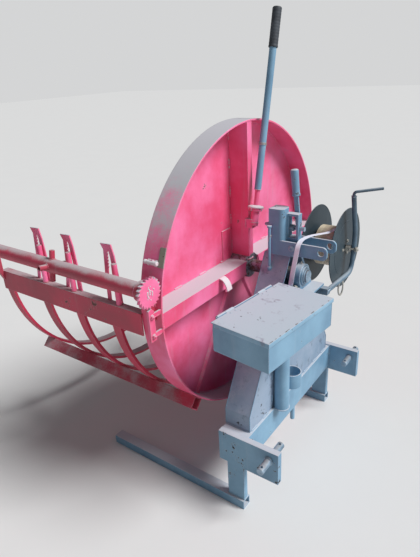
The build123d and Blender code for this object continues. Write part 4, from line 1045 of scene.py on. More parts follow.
@dataclass
class Windlass:
    """Seams, sockets' welds and worn face of the windlass, with the pawl's bolts."""

    datum: Datum
    y: float = -617.0
    rise: float = 126.0
    tube: float = 26.0
    tube_ends: tuple[float, float] = (-13.5, -902.5)
    eye_xs: tuple[float, ...] = (-40.0, -24.0, -890.0, -874.0)
    face_runs: tuple[Point, ...] = ((-9.0, -14.0, 9.0), (-1.0, -6.0, 15.0), (8.0, -12.0, 6.0))
    spatter: int = 20
    socket_x: float = -472.0
    socket_reach: float = 11.2
    socket_angles: tuple[float, ...] = (-10.0, 80.0, 170.0, 260.0)
    pawl_top: float = 72.0
    pawl_bolt_drops: tuple[float, float] = (29.0, 99.0)
    pawl_weld_drops: tuple[float, ...] = (22.0, 36.0, 92.0, 106.0)

    def ring(self, x: float, radius: float) -> list[Vector]:
        """Points round the windlass's axis."""
        return self.datum.hoop((x, self.y, self.rise), radius, turns(26))

    def socket_seam(self, angle: float) -> list[Vector]:
        """Points round a bar socket where it meets the tube's curve.

        Args:
            angle: The socket's direction in degrees from straight up.

        Returns:
            The points.
        """
        out = math.radians(angle)
        up = Vector((0.0, -math.sin(out), math.cos(out)))
        side = Vector((0.0, math.cos(out), math.sin(out)))
        middle = self.datum.at(self.socket_x, self.y, self.rise)
        seam = []
        for t in turns(22):
            across, along = self.socket_reach * math.sin(t), self.socket_reach * math.cos(t)
            height = math.sqrt(self.tube**2 - across**2) + 0.8
            seam.append(middle + (X_AXIS * along + side * across + up * height) * MM)
        return seam

    def build(self) -> None:
        """Build what turns with the tube and what is fixed beside it."""
        self.build_tube_welds()
        self.build_face()
        self.build_seats()

    def build_tube_welds(self) -> None:
        """Build the beads round the wheel's foot, the sockets and the tube's far end."""
        welds = Forge(31)
        front, rear = self.tube_ends
        welds.bead(self.ring(front, self.tube + 1), 3.4, closed=True)
        for angle in self.socket_angles:
            welds.bead(self.socket_seam(angle), 2.4, closed=True)
        welds.bead(self.ring(rear, self.tube - 1.5), 2.0, closed=True)
        # The windlass welds take the red paint darkened with painted shade.
        welds.piece("windlass_welds", "windlass", Coat.SHADED_CRADLE_PAINT)

    def build_face(self) -> None:
        """Build the rough runs of weld and the spatter on the ratchet wheel's face."""
        at = self.datum.at
        face = Forge(32)
        for y, low, high in self.face_runs:
            bend = face.random.uniform(-3.0, 3.0)
            line = [(y, low), (y + bend, (low + high) / 2), (y + bend / 3, high)]
            face.bead([at(0.4, self.y + across, self.rise + up) for across, up in line], 2.8, pitch=4.4)
        for _ in range(self.spatter):
            angle, reach = face.random.uniform(0, 6.283), face.random.uniform(2, 24)
            spot = self.datum.hoop((0.2, self.y, self.rise), reach, [angle])[0]
            size = face.random.uniform(1.2, 2.8)
            face.lathe(spot, X_AXIS, [(size, 0.0), (size * 0.8, size * 0.5), (size * 0.3, size * 0.8)], 9)
        # Pale weld runs and spatter: dust, partly painted light on the ratchet wheel's lit face.
        face.piece("ratchet_face_weld", "windlass", Coat.DUSTED_AND_LIT_PAINT)

    def build_seats(self) -> None:
        """Build the eyes' collars, the pawl bar's welds and its bolts."""
        fixed = Forge(33)
        for x in self.eye_xs:
            fixed.wire(self.ring(x, self.tube + 7.2), 1.2, 6, closed=True)
        for drop in self.pawl_weld_drops:
            rise = self.pawl_top - drop
            fixed.seams(self.datum, (2.2, (-3.0, self.y, rise), (-3.0, -580, rise)))
        fixed.seams(self.datum, (2.8, (-23.4, -590, 92), (-23.4, -572, 52)))
        fixed.piece("windlass_seat_welds", "drum", Coat.RED_PAINT)
        bolts = Forge(34)
        for drop in self.pawl_bolt_drops:
            bolts.bolt(self.datum.at(-2.0, -617.5, self.pawl_top - drop), X_AXIS, 8.0, 3.0)
        bolts.piece("pawl_bolts", "drum", Coat.RED_PAINT)


@dataclass
class TurningLever:
    """Grip, dripped collar, clamp bolt, wire clip and seams of the turning lever."""

    datum: Datum
    x: float = 30.0
    foot_y: float = -37.0
    foot_rise: float = 185.0
    top_rise: float = 940.0
    lean: float = 13.5
    grip_length: float = 130.0
    rib_pitch: float = 10.5
    collar_rise: float = 250.0
    drips: Pairs = ((0.05, 9.0), (0.2, 13.0), (0.42, 7.0), (0.6, 11.0), (0.86, 8.0))
    bands: Pairs = ((318.5, 12.0), (240.0, 17.0), (196.0, 16.6))
    clamp: Point = (30.5, -37.5, 193.0)
    clip_rise: float = 478.0
    clip_radius: float = 14.6
    clip_steps: int = 28
    clip_turns: float = 2.5
    clip_climb: float = 0.16

    def on_axis(self, rise: float) -> Vector:
        """Point of the lever's axis at a height above the shaft."""
        shift = (rise - self.foot_rise) * math.tan(math.radians(self.lean))
        return self.datum.at(self.x, self.foot_y + shift, rise)

    def ahead(self) -> Vector:
        """Direction of the lever from its foot to its grip."""
        return (self.on_axis(900.0) - self.on_axis(200.0)).normalized()

    def around(self, rise: float, radius: float, share: float) -> Vector:
        """Point round the lever's axis.

        Args:
            rise: Height above the shaft.
            radius: Distance from the axis.
            share: Share of the whole turn.

        Returns:
            The point.
        """
        ahead = self.ahead()
        across = ahead.orthogonal().normalized()
        turn = 2 * math.pi * share
        out = across * math.cos(turn) + ahead.cross(across) * math.sin(turn)
        return self.on_axis(rise) + out * radius * MM

    def ring(self, rise: float, radius: float, count: int) -> list[Vector]:
        """Points round the lever at one height."""
        return [self.around(rise, radius, i / count) for i in range(count)]

    def build(self) -> None:
        """Build the lever's dressings."""
        self.build_grip()
        self.build_collar()
        seams = Forge(43)
        for rise, radius in self.bands:
            seams.bead(self.ring(rise, radius, 20), 2.0, closed=True)
        seams.seams(
            self.datum,
            (2.8, (0.2, -50.6, 176), (0.2, -50.6, 210)),
            (2.8, (0.2, -49, 211.5), (0.2, -12, 211.5)),
        )
        seams.piece("lever_socket_welds", "drum", Coat.RED_PAINT)
        clamp = Forge(44)
        clamp.bolt(self.datum.at(*self.clamp), X_AXIS, 8.0, 2.0)
        clamp.piece("lever_clamp_bolt", "drum", Coat.ZINC)
        clip = Forge(45)
        coil = []
        for i in range(round(self.clip_steps * self.clip_turns)):
            spot = self.around(self.clip_rise, self.clip_radius, i / self.clip_steps)
            coil.append(spot + self.ahead() * (i * self.clip_climb) * MM)
        clip.wire(coil, 1.5, 7)
        clip.piece("lever_wire_clip", "drum", Coat.ZINC)

    def build_grip(self) -> None:
        """Build the grip with its faint ribs and rounded end."""
        grip = Forge(41)
        length = self.grip_length / math.cos(math.radians(self.lean))
        profile = [(13.4, -0.2), (16.4, 0.0), (17.4, 1.6), (17.4, 5.0), (16.6, 7.0)]
        end = [(16.8, length - 9), (16.8, length - 4), (14.4, length - 0.6), (8.0, length), (0.0, length)]
        spot = 12.0
        while spot < length - 14.0:
            profile += [(16.4, spot), (16.7, spot + 1.6), (16.7, spot + 5.6), (16.4, spot + 7.2)]
            spot += self.rib_pitch
        grip.lathe(self.on_axis(self.top_rise - self.grip_length), self.ahead(), profile + end, 28)
        grip.piece("lever_grip_ribbed", "drum", Coat.BLACK_GRIP, ("turning_lever_grip",))

    def build_collar(self) -> None:
        """Build the collar with the rough bead on it and the paint's drips below."""
        collar = Forge(42)
        foot = [(22.0, -1.0), (28.5, 0.0), (30.5, 2.0), (30.8, 5.0)]
        shoulder = [(28.0, 8.4), (19.0, 10.6), (12.4, 11.4), (9.0, 11.6)]
        collar.lathe(self.on_axis(self.collar_rise), self.ahead(), foot + shoulder, 30)
        collar.bead(self.ring(self.collar_rise + 3.0, 29.0, 24), 3.6, closed=True, pitch=9.0)
        for share, drop in self.drips:
            top = self.around(self.collar_rise, 26.6, share)
            fall = self.ahead() * drop
            collar.tube([top, top - fall * 0.5 * MM, top - fall * MM], [3.0, 2.2, 1.0], 8)
        collar.piece("lever_collar_ring", "drum", Coat.DUSTED_AND_LIT_PAINT)


@dataclass
class Tower:
    """Seams of the tower, shelf, beam, hitch plates, legs and skids, with the link pins' ends."""

    datum: Datum
    front: float = 190.0
    rear: float = 82.0
    foot_half: float = 355.0
    top_half: float = 42.0
    top_rise: float = 90.0
    foot_rise: float = -457.0
    beam_rise: float = -527.0
    beam_low: float = -645.0
    beam_front: float = 200.0
    beam_end: float = 384.0
    leg_y: float = 397.5
    leg_xs: tuple[float, float] = (117.0, 193.0)
    skid_rise: float = -824.5
    stub: Point = (186, 18, -646)
    pin_x: float = 302.0
    pin_rise: float = -562.0
    pin_collars: tuple[float, float] = (415.4, 384.4)
    pin_ends: tuple[tuple[float, int], ...] = ((475.0, 1), (315.0, -1))

    def build(self) -> None:
        """Build the frame's welds and the link pins' ends."""
        at, line = self.datum.at, self.datum.line
        welds = Forge(51)
        for side in (-1, 1):
            self.weld_side(welds, side)
        front = self.front + 1
        welds.stitches(at(front, -76, -51), at(front, 76, -51), 30, 3, 2.8)
        welds.bead(line((front, -78, -61), (front, 78, -61)), 2.8)
        welds.bead(self.datum.disc(self.stub, 10.8, turns(18)), 2.8, closed=True)
        welds.piece("frame_welds", "frame", Coat.GREY_PAINT)
        pins = Forge(52)
        for side in (-1, 1):
            for y in self.pin_collars:
                middle = (self.pin_x, side * y, self.pin_rise)
                ring = self.datum.loop(middle, (14.9, 0.0, 0.0), (0.0, 0.0, 14.9), turns(22))
                pins.bead(ring, 2.0, closed=True)
            for y, out in self.pin_ends:
                end = at(self.pin_x, side * y, self.pin_rise)
                pins.lathe(end, Y_AXIS * side * out, [(13.8, -0.4), (12.2, 1.4), (0.0, 1.6)], 26)
        pins.piece("link_pin_ends", "frame", Coat.BRIGHT_STEEL)

    def weld_side(self, welds: Forge, side: int) -> None:
        """Add the beads of one side of the frame.

        Args:
            welds: The mesh that takes them.
            side: 1 for the left side, -1 for the right one.
        """
        at, line = self.datum.at, self.datum.line
        front, rear, seat = self.front, self.rear, self.beam_rise + 1
        top, foot = side * (self.top_half - 0.5), side * (self.foot_half - 0.5)
        for x in (front, rear):
            low = (x, foot, self.beam_rise + 2)
            welds.bead(line((x, top, self.top_rise - 1), (x, foot, self.foot_rise), low), 2.2, pitch=4.4)
        outer = side * (self.foot_half + 1)
        welds.bead(line((rear + 4, outer, seat), (front - 4, outer, seat)), 3.6)
        for x in (front + 1, rear - 1):
            welds.stitches(at(x, side * 20, seat), at(x, side * 345, seat), 42, 4, 3.4)
        low, high, nose = self.beam_low, self.beam_rise, self.beam_front + 1
        section = [(rear - 1, high), (nose, high), (nose, low), (rear - 1, low), (rear - 1, high)]
        welds.bead([at(x, side * self.beam_end, rise) for x, rise in section], 3.8)
        middle = side * self.leg_y
        start, end = self.leg_xs
        for y in (middle - 11, middle + 12.6):
            welds.bead(line((start, y, self.skid_rise), (end, y, self.skid_rise)), 3.0)
        rise = self.skid_rise + 0.1
        for x in (start + 0.2, end - 0.2):
            welds.bead(line((x, middle - 12, rise), (x, middle + 12, rise)), 3.0)


@dataclass
class Bearings:
    """Bolts, seals, collars, nipple and the shaft's domed end."""

    datum: Datum
    middle: float = 218.0
    nose: float = 237.0
    step: float = 231.0
    shaft_end: float = 248.0
    rear_face: float = 73.0
    rear_reach: float = 53.5

    def build(self) -> None:
        """Build both bearings' fittings."""
        at = self.datum.at
        rings = Forge(61)
        seal = [(36.5, 0.0), (35.2, 1.4), (31.5, 1.6), (31.0, 0.6), (29.5, 0.6)]
        collar = [(30.5, 0.0), (30.5, 5.6), (29.4, 6.6), (25.1, 6.8)]
        dome = [(24.6, -0.4), (24.2, 0.8), (21.5, 2.4), (15.0, 3.8), (7.0, 4.4)]
        centre_hole = [(3.4, 4.5), (2.6, 3.2), (0.0, 2.6)]
        lip = [(45.2, 0.0), (43.6, 1.8), (40.5, 2.2), (39.8, 1.2)]
        for x, profile, sides in (
            (self.nose - 0.6, seal, 40),
            (self.nose - 0.4, collar, 40),
            (self.shaft_end, dome + centre_hole, 36),
            (self.step - 0.5, lip, 44),
        ):
            rings.lathe(at(x, 0, 0), X_AXIS, profile, sides)
        plug = [(2.8, -1.0), (2.8, 1.4), (1.4, 1.4), (1.4, 0.4)]
        rings.lathe(at(self.nose + 3.0, 0, 30.0), Z_AXIS, plug, 6)
        rings.piece("front_bearing_rings", "frame", Coat.BRIGHT_STEEL)
        bolts = Forge(62)
        for y in (-51, 51):
            bolts.bolt(at(self.middle, y, -38), Z_AXIS, 10.0, 4.0)
        corners = [math.radians(angle) for angle in (45, 135, 225, 315)]
        for spot in self.datum.hoop((self.rear_face, 0.0, 0.0), self.rear_reach, corners):
            bolts.bolt(spot, -X_AXIS, 7.0)
        nipple = at(self.middle, 0, 45.5)
        bolts.lathe(nipple, Z_AXIS, [(4.4, 0.0), (4.4, 4.0)], 6)
        bolts.lathe(nipple, Z_AXIS, [(2.4, 4.0), (2.4, 6.5), (3.2, 7.6), (2.9, 9.6), (1.4, 10.6)], 14)
        bolts.piece("bearing_bolts", "frame", Coat.ZINC)


@dataclass
class LinkBracket:
    """Welds, spring, washers and smooth lock grip round the top link bracket and the drum's lock."""

    datum: Datum
    base: float = 98.0
    bolt_y: float = -10.0
    bolt_rise: float = 190.0
    spring_start: float = 174.6
    spring_length: float = 12.0
    spring_turns: int = 5
    spring_steps: int = 18
    spring_radius: float = 11.2
    pin_x: float = 200.0
    pin_rise: float = 123.0
    pin_bend: Pairs = ((-1, 12), (0, 6), (0, -7), (2.5, -12))
    grip_ends: tuple[Point, Point] = ((181.8, 16, 305), (172.0, 16, 403))

    def build(self) -> None:
        """Build the bracket's fittings."""
        self.build_welds()
        self.build_spring()
        self.build_grip()

    def build_welds(self) -> None:
        """Build the beads at the bracket's foot and along its arms."""
        at, base = self.datum.at, self.base
        welds = Forge(71)
        for y in (-46.0, 29.0):
            welds.stitches(at(118, y, base), at(203, y, base), 24, 3, 2.6)
        welds.seams(
            self.datum,
            (2.8, (166, -44, base), (166, 4, base)),
            (2.8, (108, 6.0, base), (160, 6.0, base)),
            (2.4, (165.5, -25.6, 149), (165.5, -25.6, 244)),
            (2.4, (165.5, 5.6, 149), (165.5, 5.6, 244)),
        )
        for y in (-43, 43):
            welds.stitches(at(108, y, 89), at(187, y, 89), 26, 2, 2.8)
        welds.seams(self.datum, (2.8, (191, -40, 89.2), (191, 36, 89.2)))
        welds.piece("bracket_welds", "frame", Coat.GREY_PAINT)

    def build_spring(self) -> None:
        """Build the lock's spring and the washers and split pins on the bracket's pin."""
        at = self.datum.at
        spring = Forge(72)
        coil = []
        last = self.spring_turns * self.spring_steps
        for i in range(last + 1):
            middle = (self.spring_start + self.spring_length * i / last, self.bolt_y, self.bolt_rise)
            coil += self.datum.hoop(middle, self.spring_radius, [2 * math.pi * i / self.spring_steps])
        spring.wire(coil, 1.1, 7)
        washer = [(12.6, 0.0), (12.8, 0.6), (12.8, 1.6), (9.0, 1.8)]
        spring.lathe(at(187.2, self.bolt_y, self.bolt_rise), X_AXIS, washer, 24)
        washer = [(11.5, -0.3), (11.8, 0.4), (11.8, 1.8), (6.4, 2.1)]
        for y, out in ((-55.0, -1), (38.0, 1)):
            spring.lathe(at(self.pin_x, y, self.pin_rise), Y_AXIS * out, washer, 24)
            pin = at(self.pin_x, y + out * 3.6, self.pin_rise)
            spring.wire([pin + Z_AXIS * z * MM + X_AXIS * x * MM for x, z in self.pin_bend], 1.3, 7)
        spring.piece("lock_spring_and_pins", "frame", Coat.BRIGHT_STEEL)

    def build_grip(self) -> None:
        """Build the smooth grip on the lock's lever."""
        grip = Forge(73)
        low, high = self.datum.line(*self.grip_ends)
        length = (high - low).length / MM
        bead = [(9.8, -0.2), (14.2, 0.0), (15.6, 1.4), (15.6, 7.0), (14.4, 9.0)]
        waist = [(14.0, 30.0), (14.6, 70.0)]
        end = [(15.0, length - 9), (14.4, length - 3.4), (11.0, length - 0.6), (0.0, length)]
        grip.lathe(low, high - low, bead + waist + end, 24)
        grip.piece("lock_grip_sleeve", "frame", Coat.GREY_PAINT, ("lock_lever_grip",))


@dataclass
class UprightPin:
    """Wire ring that hangs on the upright pin."""

    datum: Datum
    middle: Point = (122.0, -76.0, 158.0)
    tilt: Point = (5.0, 0.0, 13.0)
    half: Point = (0.0, 7.5, 0.0)

    def build(self) -> None:
        """Build the ring."""
        ring = Forge(81)
        ring.wire(self.datum.loop(self.middle, self.tilt, self.half, turns(26)), 1.1, 7, closed=True)
        ring.piece("upright_pin_ring", "frame", Coat.ZINC)


@dataclass
class StrapBin:
    """Corner seams, rivets and the dark flakes along the lid's edge, which are chips and painted gap shadow,
    with the welds of the pipe below.
    """

    datum: Datum
    centre: tuple[float, float] = (284.3, -339.6)
    turn: float = -6.4
    half_x: float = 108.3
    half_y: float = 185.0
    top: float = 18.0
    deep: float = 105.9
    edge_x: float = 112.3
    post: tuple[float, float] = (218.5, -152.0)
    post_seams: tuple[Point, ...] = ((-526, 30.8, 3.0), (-97.5, 30.6, 2.6))
    tower_seam_ys: tuple[float, float] = (-183.0, -121.0)
    hinge_leaf: float = 130.0
    lid_leaf: float = 89.0
    rivet_half: float = 12.0
    chip_and_shade_ys: tuple[float, ...] = (
        -178.0, -171.0, -150.0, -128.0, -96.0, -84.0, -40.0, -33.0, -8.0, 52.0, 60.0, 118.0, 160.0,
    )

    def at(self, x: float, y: float, z: float) -> Vector:
        """Point in the bin's own frame.

        Args:
            x: Across the bin, towards the tractor.
            y: Along the bin, towards the left side.
            z: Height above the lid's top.

        Returns:
            The point.
        """
        t = math.radians(self.turn)
        along = self.centre[0] + x * math.cos(t) - y * math.sin(t)
        across = self.centre[1] + x * math.sin(t) + y * math.cos(t)
        return self.datum.at(along, across, self.top + z)

    def build(self) -> None:
        """Build the bin's seams, rivets and dark edge flakes: chips with painted gap shadow."""
        self.build_seams()
        self.build_rivets()
        # Dark flakes along the lid's front edge: chips to dark primer, partly painted shadow of the gap at
        # the lid's edge.
        flakes = Forge(94)
        for middle in self.chip_and_shade_ys:
            self.add_flake(flakes, self.edge_x - flakes.random.uniform(2.6, 3.6), middle)
        flakes.piece("lid_edge_chips_and_gap_shade", "lid", Coat.BLACK_GRIP)

    def build_seams(self) -> None:
        """Build the seams of the bin and its bracket, and of the pipe below, also along the tower."""
        at = self.datum.at
        seams = Forge(91)
        for x in (-self.half_x, self.half_x):
            for y in (-self.half_y, self.half_y):
                seams.bead([self.at(x * 0.998, y * 0.999, z) for z in (-18, -self.deep + 1)], 1.3)
        wide, long = self.half_x - 1, self.half_y - 1
        floor = [(-wide, -long), (wide, -long), (wide, long), (-wide, long), (-wide, -long)]
        seams.bead([self.at(x, y, -self.deep + 0.6) for x, y in floor], 1.2, pitch=5.0)
        seams.seams(self.datum, (2.0, (188.5, -122, -89), (188.5, -391, -89)))
        open_turn = [2 * math.pi * i / 28 for i in range(-13, 14)]
        for rise, reach, radius in self.post_seams:
            seams.bead(self.datum.disc((*self.post, rise), reach, open_turn), radius)
        for y in self.tower_seam_ys:
            seams.stitches(at(190.8, y, -500), at(190.8, y, -120), 34, 4, 2.6)
        seams.piece("bin_and_post_welds", "frame", Coat.GREY_PAINT)

    def build_rivets(self) -> None:
        """Build the rivets of the hinge, on the bin's back and on the lid's top."""
        rivets = Forge(92)
        back = self.at(-1, 0, 0) - self.at(0, 0, 0)
        head = [(4.0, -0.4), (3.8, 0.8), (2.2, 1.8), (0.0, 2.0)]
        for y in self.rivet_ys(self.hinge_leaf):
            rivets.lathe(self.at(-self.half_x - 2.8, y, -22), back, head, 14)
        rivets.piece("bin_hinge_rivets", "frame", Coat.ZINC)
        lid_rivets = Forge(93)
        head = [(4.0, -0.4), (3.8, 0.6), (2.2, 1.4), (0.0, 1.6)]
        for y in self.rivet_ys(self.lid_leaf):
            lid_rivets.lathe(self.at(-self.half_x + 6, y, 0), Z_AXIS, head, 14)
        lid_rivets.piece("bin_lid_rivets", "lid", Coat.LID_PAINT)

    def rivet_ys(self, leaf: float) -> list[float]:
        """Places of two pairs of rivets along the bin, each pair about one leaf's middle."""
        return [middle + side for middle in (-leaf, leaf) for side in (-self.rivet_half, self.rivet_half)]

    def add_flake(self, flakes: Forge, x: float, y: float) -> None:
        """Add one dark flake on the lid's top beside its edge: a chip down to dark primer, partly painted
        shadow of the gap at the edge.

        Args:
            flakes: The mesh that takes it.
            x: Its middle across the lid.
            y: Its middle along the lid.
        """
        long, wide = flakes.random.uniform(3.0, 9.0), flakes.random.uniform(1.2, 2.4)
        corners = []
        for t in turns(9):
            size = flakes.random.uniform(0.65, 1.1)
            corners.append(self.at(x + wide * size * math.cos(t), y + long * size * math.sin(t), 0.0))
        flakes.slab(corners, Z_AXIS * 0.25 * MM)


@dataclass
class StrapReel:
    """Wound strap, rolled hems and hub fittings of the reel, with its arm's seams and ring."""

    datum: Datum
    y: float = 335.0
    rise: float = 11.0
    rear: float = 130.0
    front: float = 266.0
    radius: float = 172.0
    core: float = 48.0
    roll: float = 88.0
    side_gap: float = 23.0
    layers: int = 22
    lanes: int = 5
    groove: float = 120.0
    bolt_circle: float = 31.0
    nut_x: float = 310.5
    washer_x: float = 270.4
    arm_foot: Point = (300, 302.5, 250.4)
    keeper: Point = (300.0, 214.0, -122.0)
    keeper_up: Point = (0.0, 0.0, 34.0)
    keeper_side: Point = (3.0, 18.0, 0.0)

    def ring(self, x: float, radius: float, count: int) -> list[Vector]:
        """Points round the reel's axis."""
        return self.datum.hoop((x, self.y, self.rise), radius, turns(count))

    def build(self) -> None:
        """Build the reel's turning pieces and what stands on the arm."""
        self.build_roll()
        self.build_flanges()
        self.build_arm()

    def build_roll(self) -> None:
        """Build the wound strap with its layers' edges and the lanes on its outside."""
        wound = Forge(101)
        low, high = self.rear + self.side_gap, self.front - self.side_gap
        depth = self.roll - 1.8 - self.core
        reaches = [self.core + depth * i / (self.layers - 1) for i in range(self.layers)]
        profile = []
        for reach in reaches:
            inset = wound.random.uniform(0.0, 1.1)
            profile += [(reach, low + inset + 0.9), (reach + 1.0, low + inset)]
        width = (high - low) / self.lanes
        for lane in range(self.lanes):
            size = self.roll - 0.2 - wound.random.uniform(0.0, 1.3)
            start = low + width * lane
            end = start + width
            low_side = [(size - 1.4, start + 0.4), (size, start + 1.4)]
            profile += low_side + [(size, end - 1.4), (size - 1.4, end - 0.4)]
        for reach in reversed(reaches):
            inset = wound.random.uniform(0.0, 1.1)
            profile += [(reach + 1.0, high - inset), (reach, high - inset - 0.9)]
        wound.lathe(self.datum.at(0, self.y, self.rise), X_AXIS, profile, 72)
        wound.piece("wound_strap", "reel", Coat.STRAP, ("strap_roll",))

    def build_flanges(self) -> None:
        """Build the flanges' hems, grooves and hub bolts."""
        hems = Forge(102)
        for x, out in ((self.rear + 1.5, -1), (self.front - 1.5, 1)):
            hems.wire(self.ring(x, self.radius - 1.0, 96), 2.3, 8, closed=True)
            hems.bead(self.ring(x - out * 2.2, self.core + 0.8, 40), 2.0, closed=True)
            hems.wire(self.ring(x + out * 1.4, self.groove, 80), 1.1, 6, closed=True)
        hems.piece("reel_hems", "reel", Coat.REEL_PAINT)
        hub = Forge(103)
        spread = [t + 0.5 for t in turns(3)]
        for x, out in ((self.rear, -1), (self.front, 1)):
            for spot in self.datum.hoop((x, self.y, self.rise), self.bolt_circle, spread):
                hub.bolt(spot, X_AXIS * out, 6.0)
        hub.piece("reel_hub_bolts", "reel", Coat.ZINC)

    def build_arm(self) -> None:
        """Build the axle's nuts, the arm's welds and the keeper ring."""
        at = self.datum.at
        fixed = Forge(104)
        fixed.bolt(at(self.nut_x, self.y, self.rise), X_AXIS, 10.0, 4.0)
        washer = [(13.0, 0.0), (14.6, 0.8), (14.6, 3.4), (11.0, 3.8)]
        fixed.lathe(at(self.washer_x, self.y, self.rise), X_AXIS, washer, 26)
        nut = [(12.0, 0.0), (14.0, 1.0), (14.0, 5.0), (11.0, 6.0)]
        fixed.lathe(at(self.rear - 9, self.y, self.rise), X_AXIS, nut, 6)
        fixed.piece("reel_axle_nuts", "frame", Coat.ZINC)
        arm = Forge(105)
        arm.seams(
            self.datum,
            (2.6, (289.6, 44, -86), (289.6, 72, -86)),
            (2.6, (311.0, 45, -68), (311.0, 71, -68)),
        )
        foot = self.datum.loop(self.arm_foot, (10.6, 0.0, 0.0), (0.0, 4.0, 0.0), turns(16))
        arm.bead(foot, 1.8, closed=True)
        arm.piece("reel_arm_welds", "frame", Coat.GREY_PAINT)
        keeper = Forge(106)
        loop = self.datum.loop(self.keeper, self.keeper_up, self.keeper_side, turns(40))
        keeper.wire(loop, 3.4, 10, closed=True)
        keeper.piece("arm_keeper_ring", "frame", Coat.ZINC)


@dataclass
class StrapTail:
    """Strap's free end from the roll over the bracket's arms, hanging beside the tower."""

    datum: Datum
    width: float = 18.0
    thickness: float = 1.6
    crown: float = 0.5
    length: float = 0.5842
    # Metres: X from the pan rim's edge, Y from the shaft, height above the shaft
    route: tuple[Point, ...] = (
        (0.2340, 0.3399, 0.1003),
        (0.2340, 0.2350, 0.1060),
        (0.2340, 0.1220, 0.1330),
        (0.2340, 0.0200, 0.1550),
        (0.2340, -0.0640, 0.1610),
        (0.2305, -0.0820, 0.0940),
        (0.2273, -0.0990, 0.0340),
        (0.2246, -0.1100, -0.0180),
    )

    def line(self) -> list[Vector]:
        """Points of the route's smooth curve.

        Returns:
            The curve's points in metres.
        """
        data = bpy.data.curves.new("strap line", "CURVE")
        data.dimensions = "3D"
        data.resolution_u = 10
        spline = data.splines.new("NURBS")
        spline.points.add(len(self.route) - 1)
        for point, place in zip(spline.points, self.route):
            point.co = (*self.datum.at(*(value / MM for value in place)), 1.0)
        spline.order_u = 3
        spline.use_endpoint_u = True
        holder = bpy.data.objects.new("strap line", data)
        mesh = bpy.data.meshes.new_from_object(holder)
        points = [vertex.co.copy() for vertex in mesh.vertices]
        bpy.data.meshes.remove(mesh)
        bpy.data.objects.remove(holder)
        bpy.data.curves.remove(data)
        return points

    def section(self, points: list[Vector], i: int) -> list[Vector]:
        """Cross-section of the strap at one point of its line.

        Args:
            points: The line.
            i: Which of its points.

        Returns:
            Ten points round the section.
        """
        last = len(points) - 1
        ahead = (points[min(i + 1, last)] - points[max(i - 1, 0)]).normalized()
        across = (X_AXIS - ahead * X_AXIS.dot(ahead)).normalized()
        out = across.cross(ahead)
        if out.y > 0 and out.z < 0:
            out = -out
        half, thin = self.width * MM / 2, self.thickness * MM / 2
        crown = self.crown * MM * math.sin(i / last * 9.0)
        row = []
        for side, shares in ((1, (-1.0, -0.5, 0.0, 0.5, 1.0)), (-1, (1.0, 0.5, 0.0, -0.5, -1.0))):
            for k in shares:
                row.append(points[i] + across * half * k + out * (side * thin + crown * (1 - k * k)))
        return row

    def build(self) -> None:
        points = self.line()
        strap = Forge(111)
        strap.skin([self.section(points, i) for i in range(len(points))])
        made = strap.piece("strap_tail_band", "frame", Coat.STRAP_TAIL, ("strap_tail",))
        tuple(points[0])
        [tuple(point) for point in points]


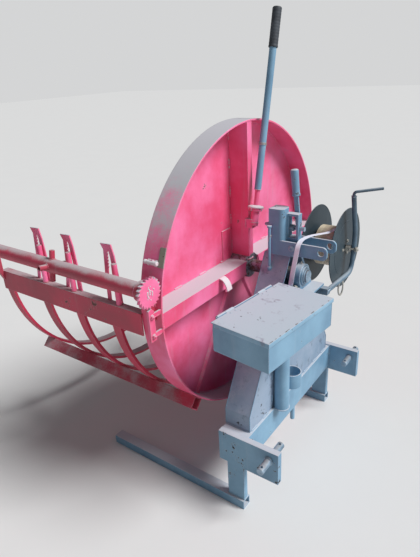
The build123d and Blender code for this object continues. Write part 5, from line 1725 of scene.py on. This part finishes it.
@dataclass
class Studio:
    """Camera at the photograph's angle, pale floor and soft light."""

    datum: Datum
    focal_pixels: float = 486.36
    yaw: float = 36.527
    pitch: float = 23.635
    roll: float = 3.05
    eye: Point = (0.962, -1.600, 1.627)
    sensor: float = 36.0
    background: Colour = (0.66, 0.665, 0.67, 1.0)
    sky: Colour = (0.93, 0.96, 1.0, 1.0)
    sky_strength: float = 0.17
    sun_strength: float = 3.6
    sun_angle: float = 24.0
    sun_from: Point = (0.65, 0.19, 0.74)
    floor_half: float = 30.0
    floor_tones: tuple[Colour, Colour] = (linear(218, 218, 218), linear(222, 222, 221))

    def build_camera(self) -> None:
        """Stand the camera where the photograph was taken."""
        origin = Vector((self.datum.edge_x, self.datum.shaft_y, 0.0))
        yaw, pitch, roll = (math.radians(a) for a in (self.yaw, self.pitch, self.roll))
        ahead = Vector((-math.sin(yaw), math.cos(yaw), 0.0))
        right = Vector((math.cos(yaw), math.sin(yaw), 0.0))
        view = ahead * math.cos(pitch) - Z_AXIS * math.sin(pitch)
        down = -ahead * math.sin(pitch) - Z_AXIS * math.cos(pitch)
        image_right = right * math.cos(roll) + down * math.sin(roll)
        image_down = -right * math.sin(roll) + down * math.cos(roll)
        turn = Matrix((image_right, -image_down, -view)).transposed().to_4x4()
        data = bpy.data.cameras.new("photo camera")
        data.sensor_width = self.sensor
        data.lens = self.focal_pixels / IMAGE_HEIGHT * self.sensor
        camera = stand("photo camera", data)
        camera.matrix_world = Matrix.Translation(origin + Vector(self.eye)) @ turn
        bpy.context.scene.camera = camera

    def build_floor(self) -> None:
        """Plain pale floor that fades to the pale background."""
        half = self.floor_half
        corners = [(-half, -half, 0.0), (half, -half, 0.0), (half, half, 0.0), (-half, half, 0.0)]
        data = bpy.data.meshes.new("floor")
        data.from_pydata(corners, [], [(0, 1, 2, 3)])
        made = stand("floor", data)
        sheet, shader = open_material("pale floor")
        cloud = sheet.noise(sheet.place(), 3.0, 8.0, 0.6)
        sheet.feed(shader.inputs["Base Color"], sheet.mix(cloud, *self.floor_tones))
        shader.inputs["Roughness"].default_value = 0.9
        shader.inputs["Specular IOR Level"].default_value = 0.1
        data.materials.append(bpy.data.materials["pale floor"])

    def build_light(self) -> None:
        """Soft light from one side, an even sky and a pale background behind the floor."""
        world = bpy.data.worlds.new("soft sky")
        world.use_nodes = True
        bpy.context.scene.world = world
        sheet = Sheet(world.node_tree)
        sky = world.node_tree.nodes["Background"]
        sky.inputs["Color"].default_value = self.sky
        sky.inputs["Strength"].default_value = self.sky_strength
        pale = sheet.node("ShaderNodeBackground", {"Color": self.background, "Strength": 1.0})
        seen = sheet.node("ShaderNodeLightPath").outputs["Is Camera Ray"]
        both = sheet.node("ShaderNodeMixShader", {0: seen, 1: sky.outputs[0], 2: pale.outputs[0]})
        sheet.feed(world.node_tree.nodes["World Output"].inputs["Surface"], both.outputs[0])
        data = bpy.data.lights.new("door light", "SUN")
        data.energy = self.sun_strength
        data.angle = math.radians(self.sun_angle)
        lamp = stand("door light", data)
        lamp.rotation_euler = Vector(self.sun_from).to_track_quat("Z", "Y").to_euler()

    def build(self) -> None:
        """Build the whole studio."""
        self.build_camera()
        self.build_floor()
        self.build_light()
        bpy.context.scene.view_settings.view_transform = "Standard"


EFFECTS = (build_settled_dust, build_edge_wear, build_brush_mottle, build_paint_chips, build_long_scuffs)
SUB_ASSEMBLIES = (
    Studio, StrapTail, DrumPan, Cradle, Windlass, TurningLever, Tower, Bearings, LinkBracket, UprightPin,
    StrapBin, StrapReel,
)


def dress_nodes() -> None:
    """Give each carried-over node its finish."""
    for entry in frame["record"]["subparts"]:
        node = frame["nodes"][entry["node"]]
        coat = NODE_COATS.get(entry["node"], SLOT_COATS[Slot(entry["material_slot"])])
        node.data.materials.clear()
        node.data.materials.append(bpy.data.materials[coat.value])
        log.info("dressed %s in %s", entry["node"], coat.value)


def main() -> None:
    """Build the finishes, the studio and every sub-assembly in order."""
    for build in EFFECTS:
        build()
    for coat, finish in FINISHES.items():
        finish.build(coat.value)
    dress_nodes()
    low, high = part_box("pan_rim")
    datum = Datum(high.x, (low.y + high.y) / 2)
    for part in SUB_ASSEMBLIES:
        log.info("building %s", part.__name__)
        part(datum).build()


if __name__ == "__main__":
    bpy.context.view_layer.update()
    main()
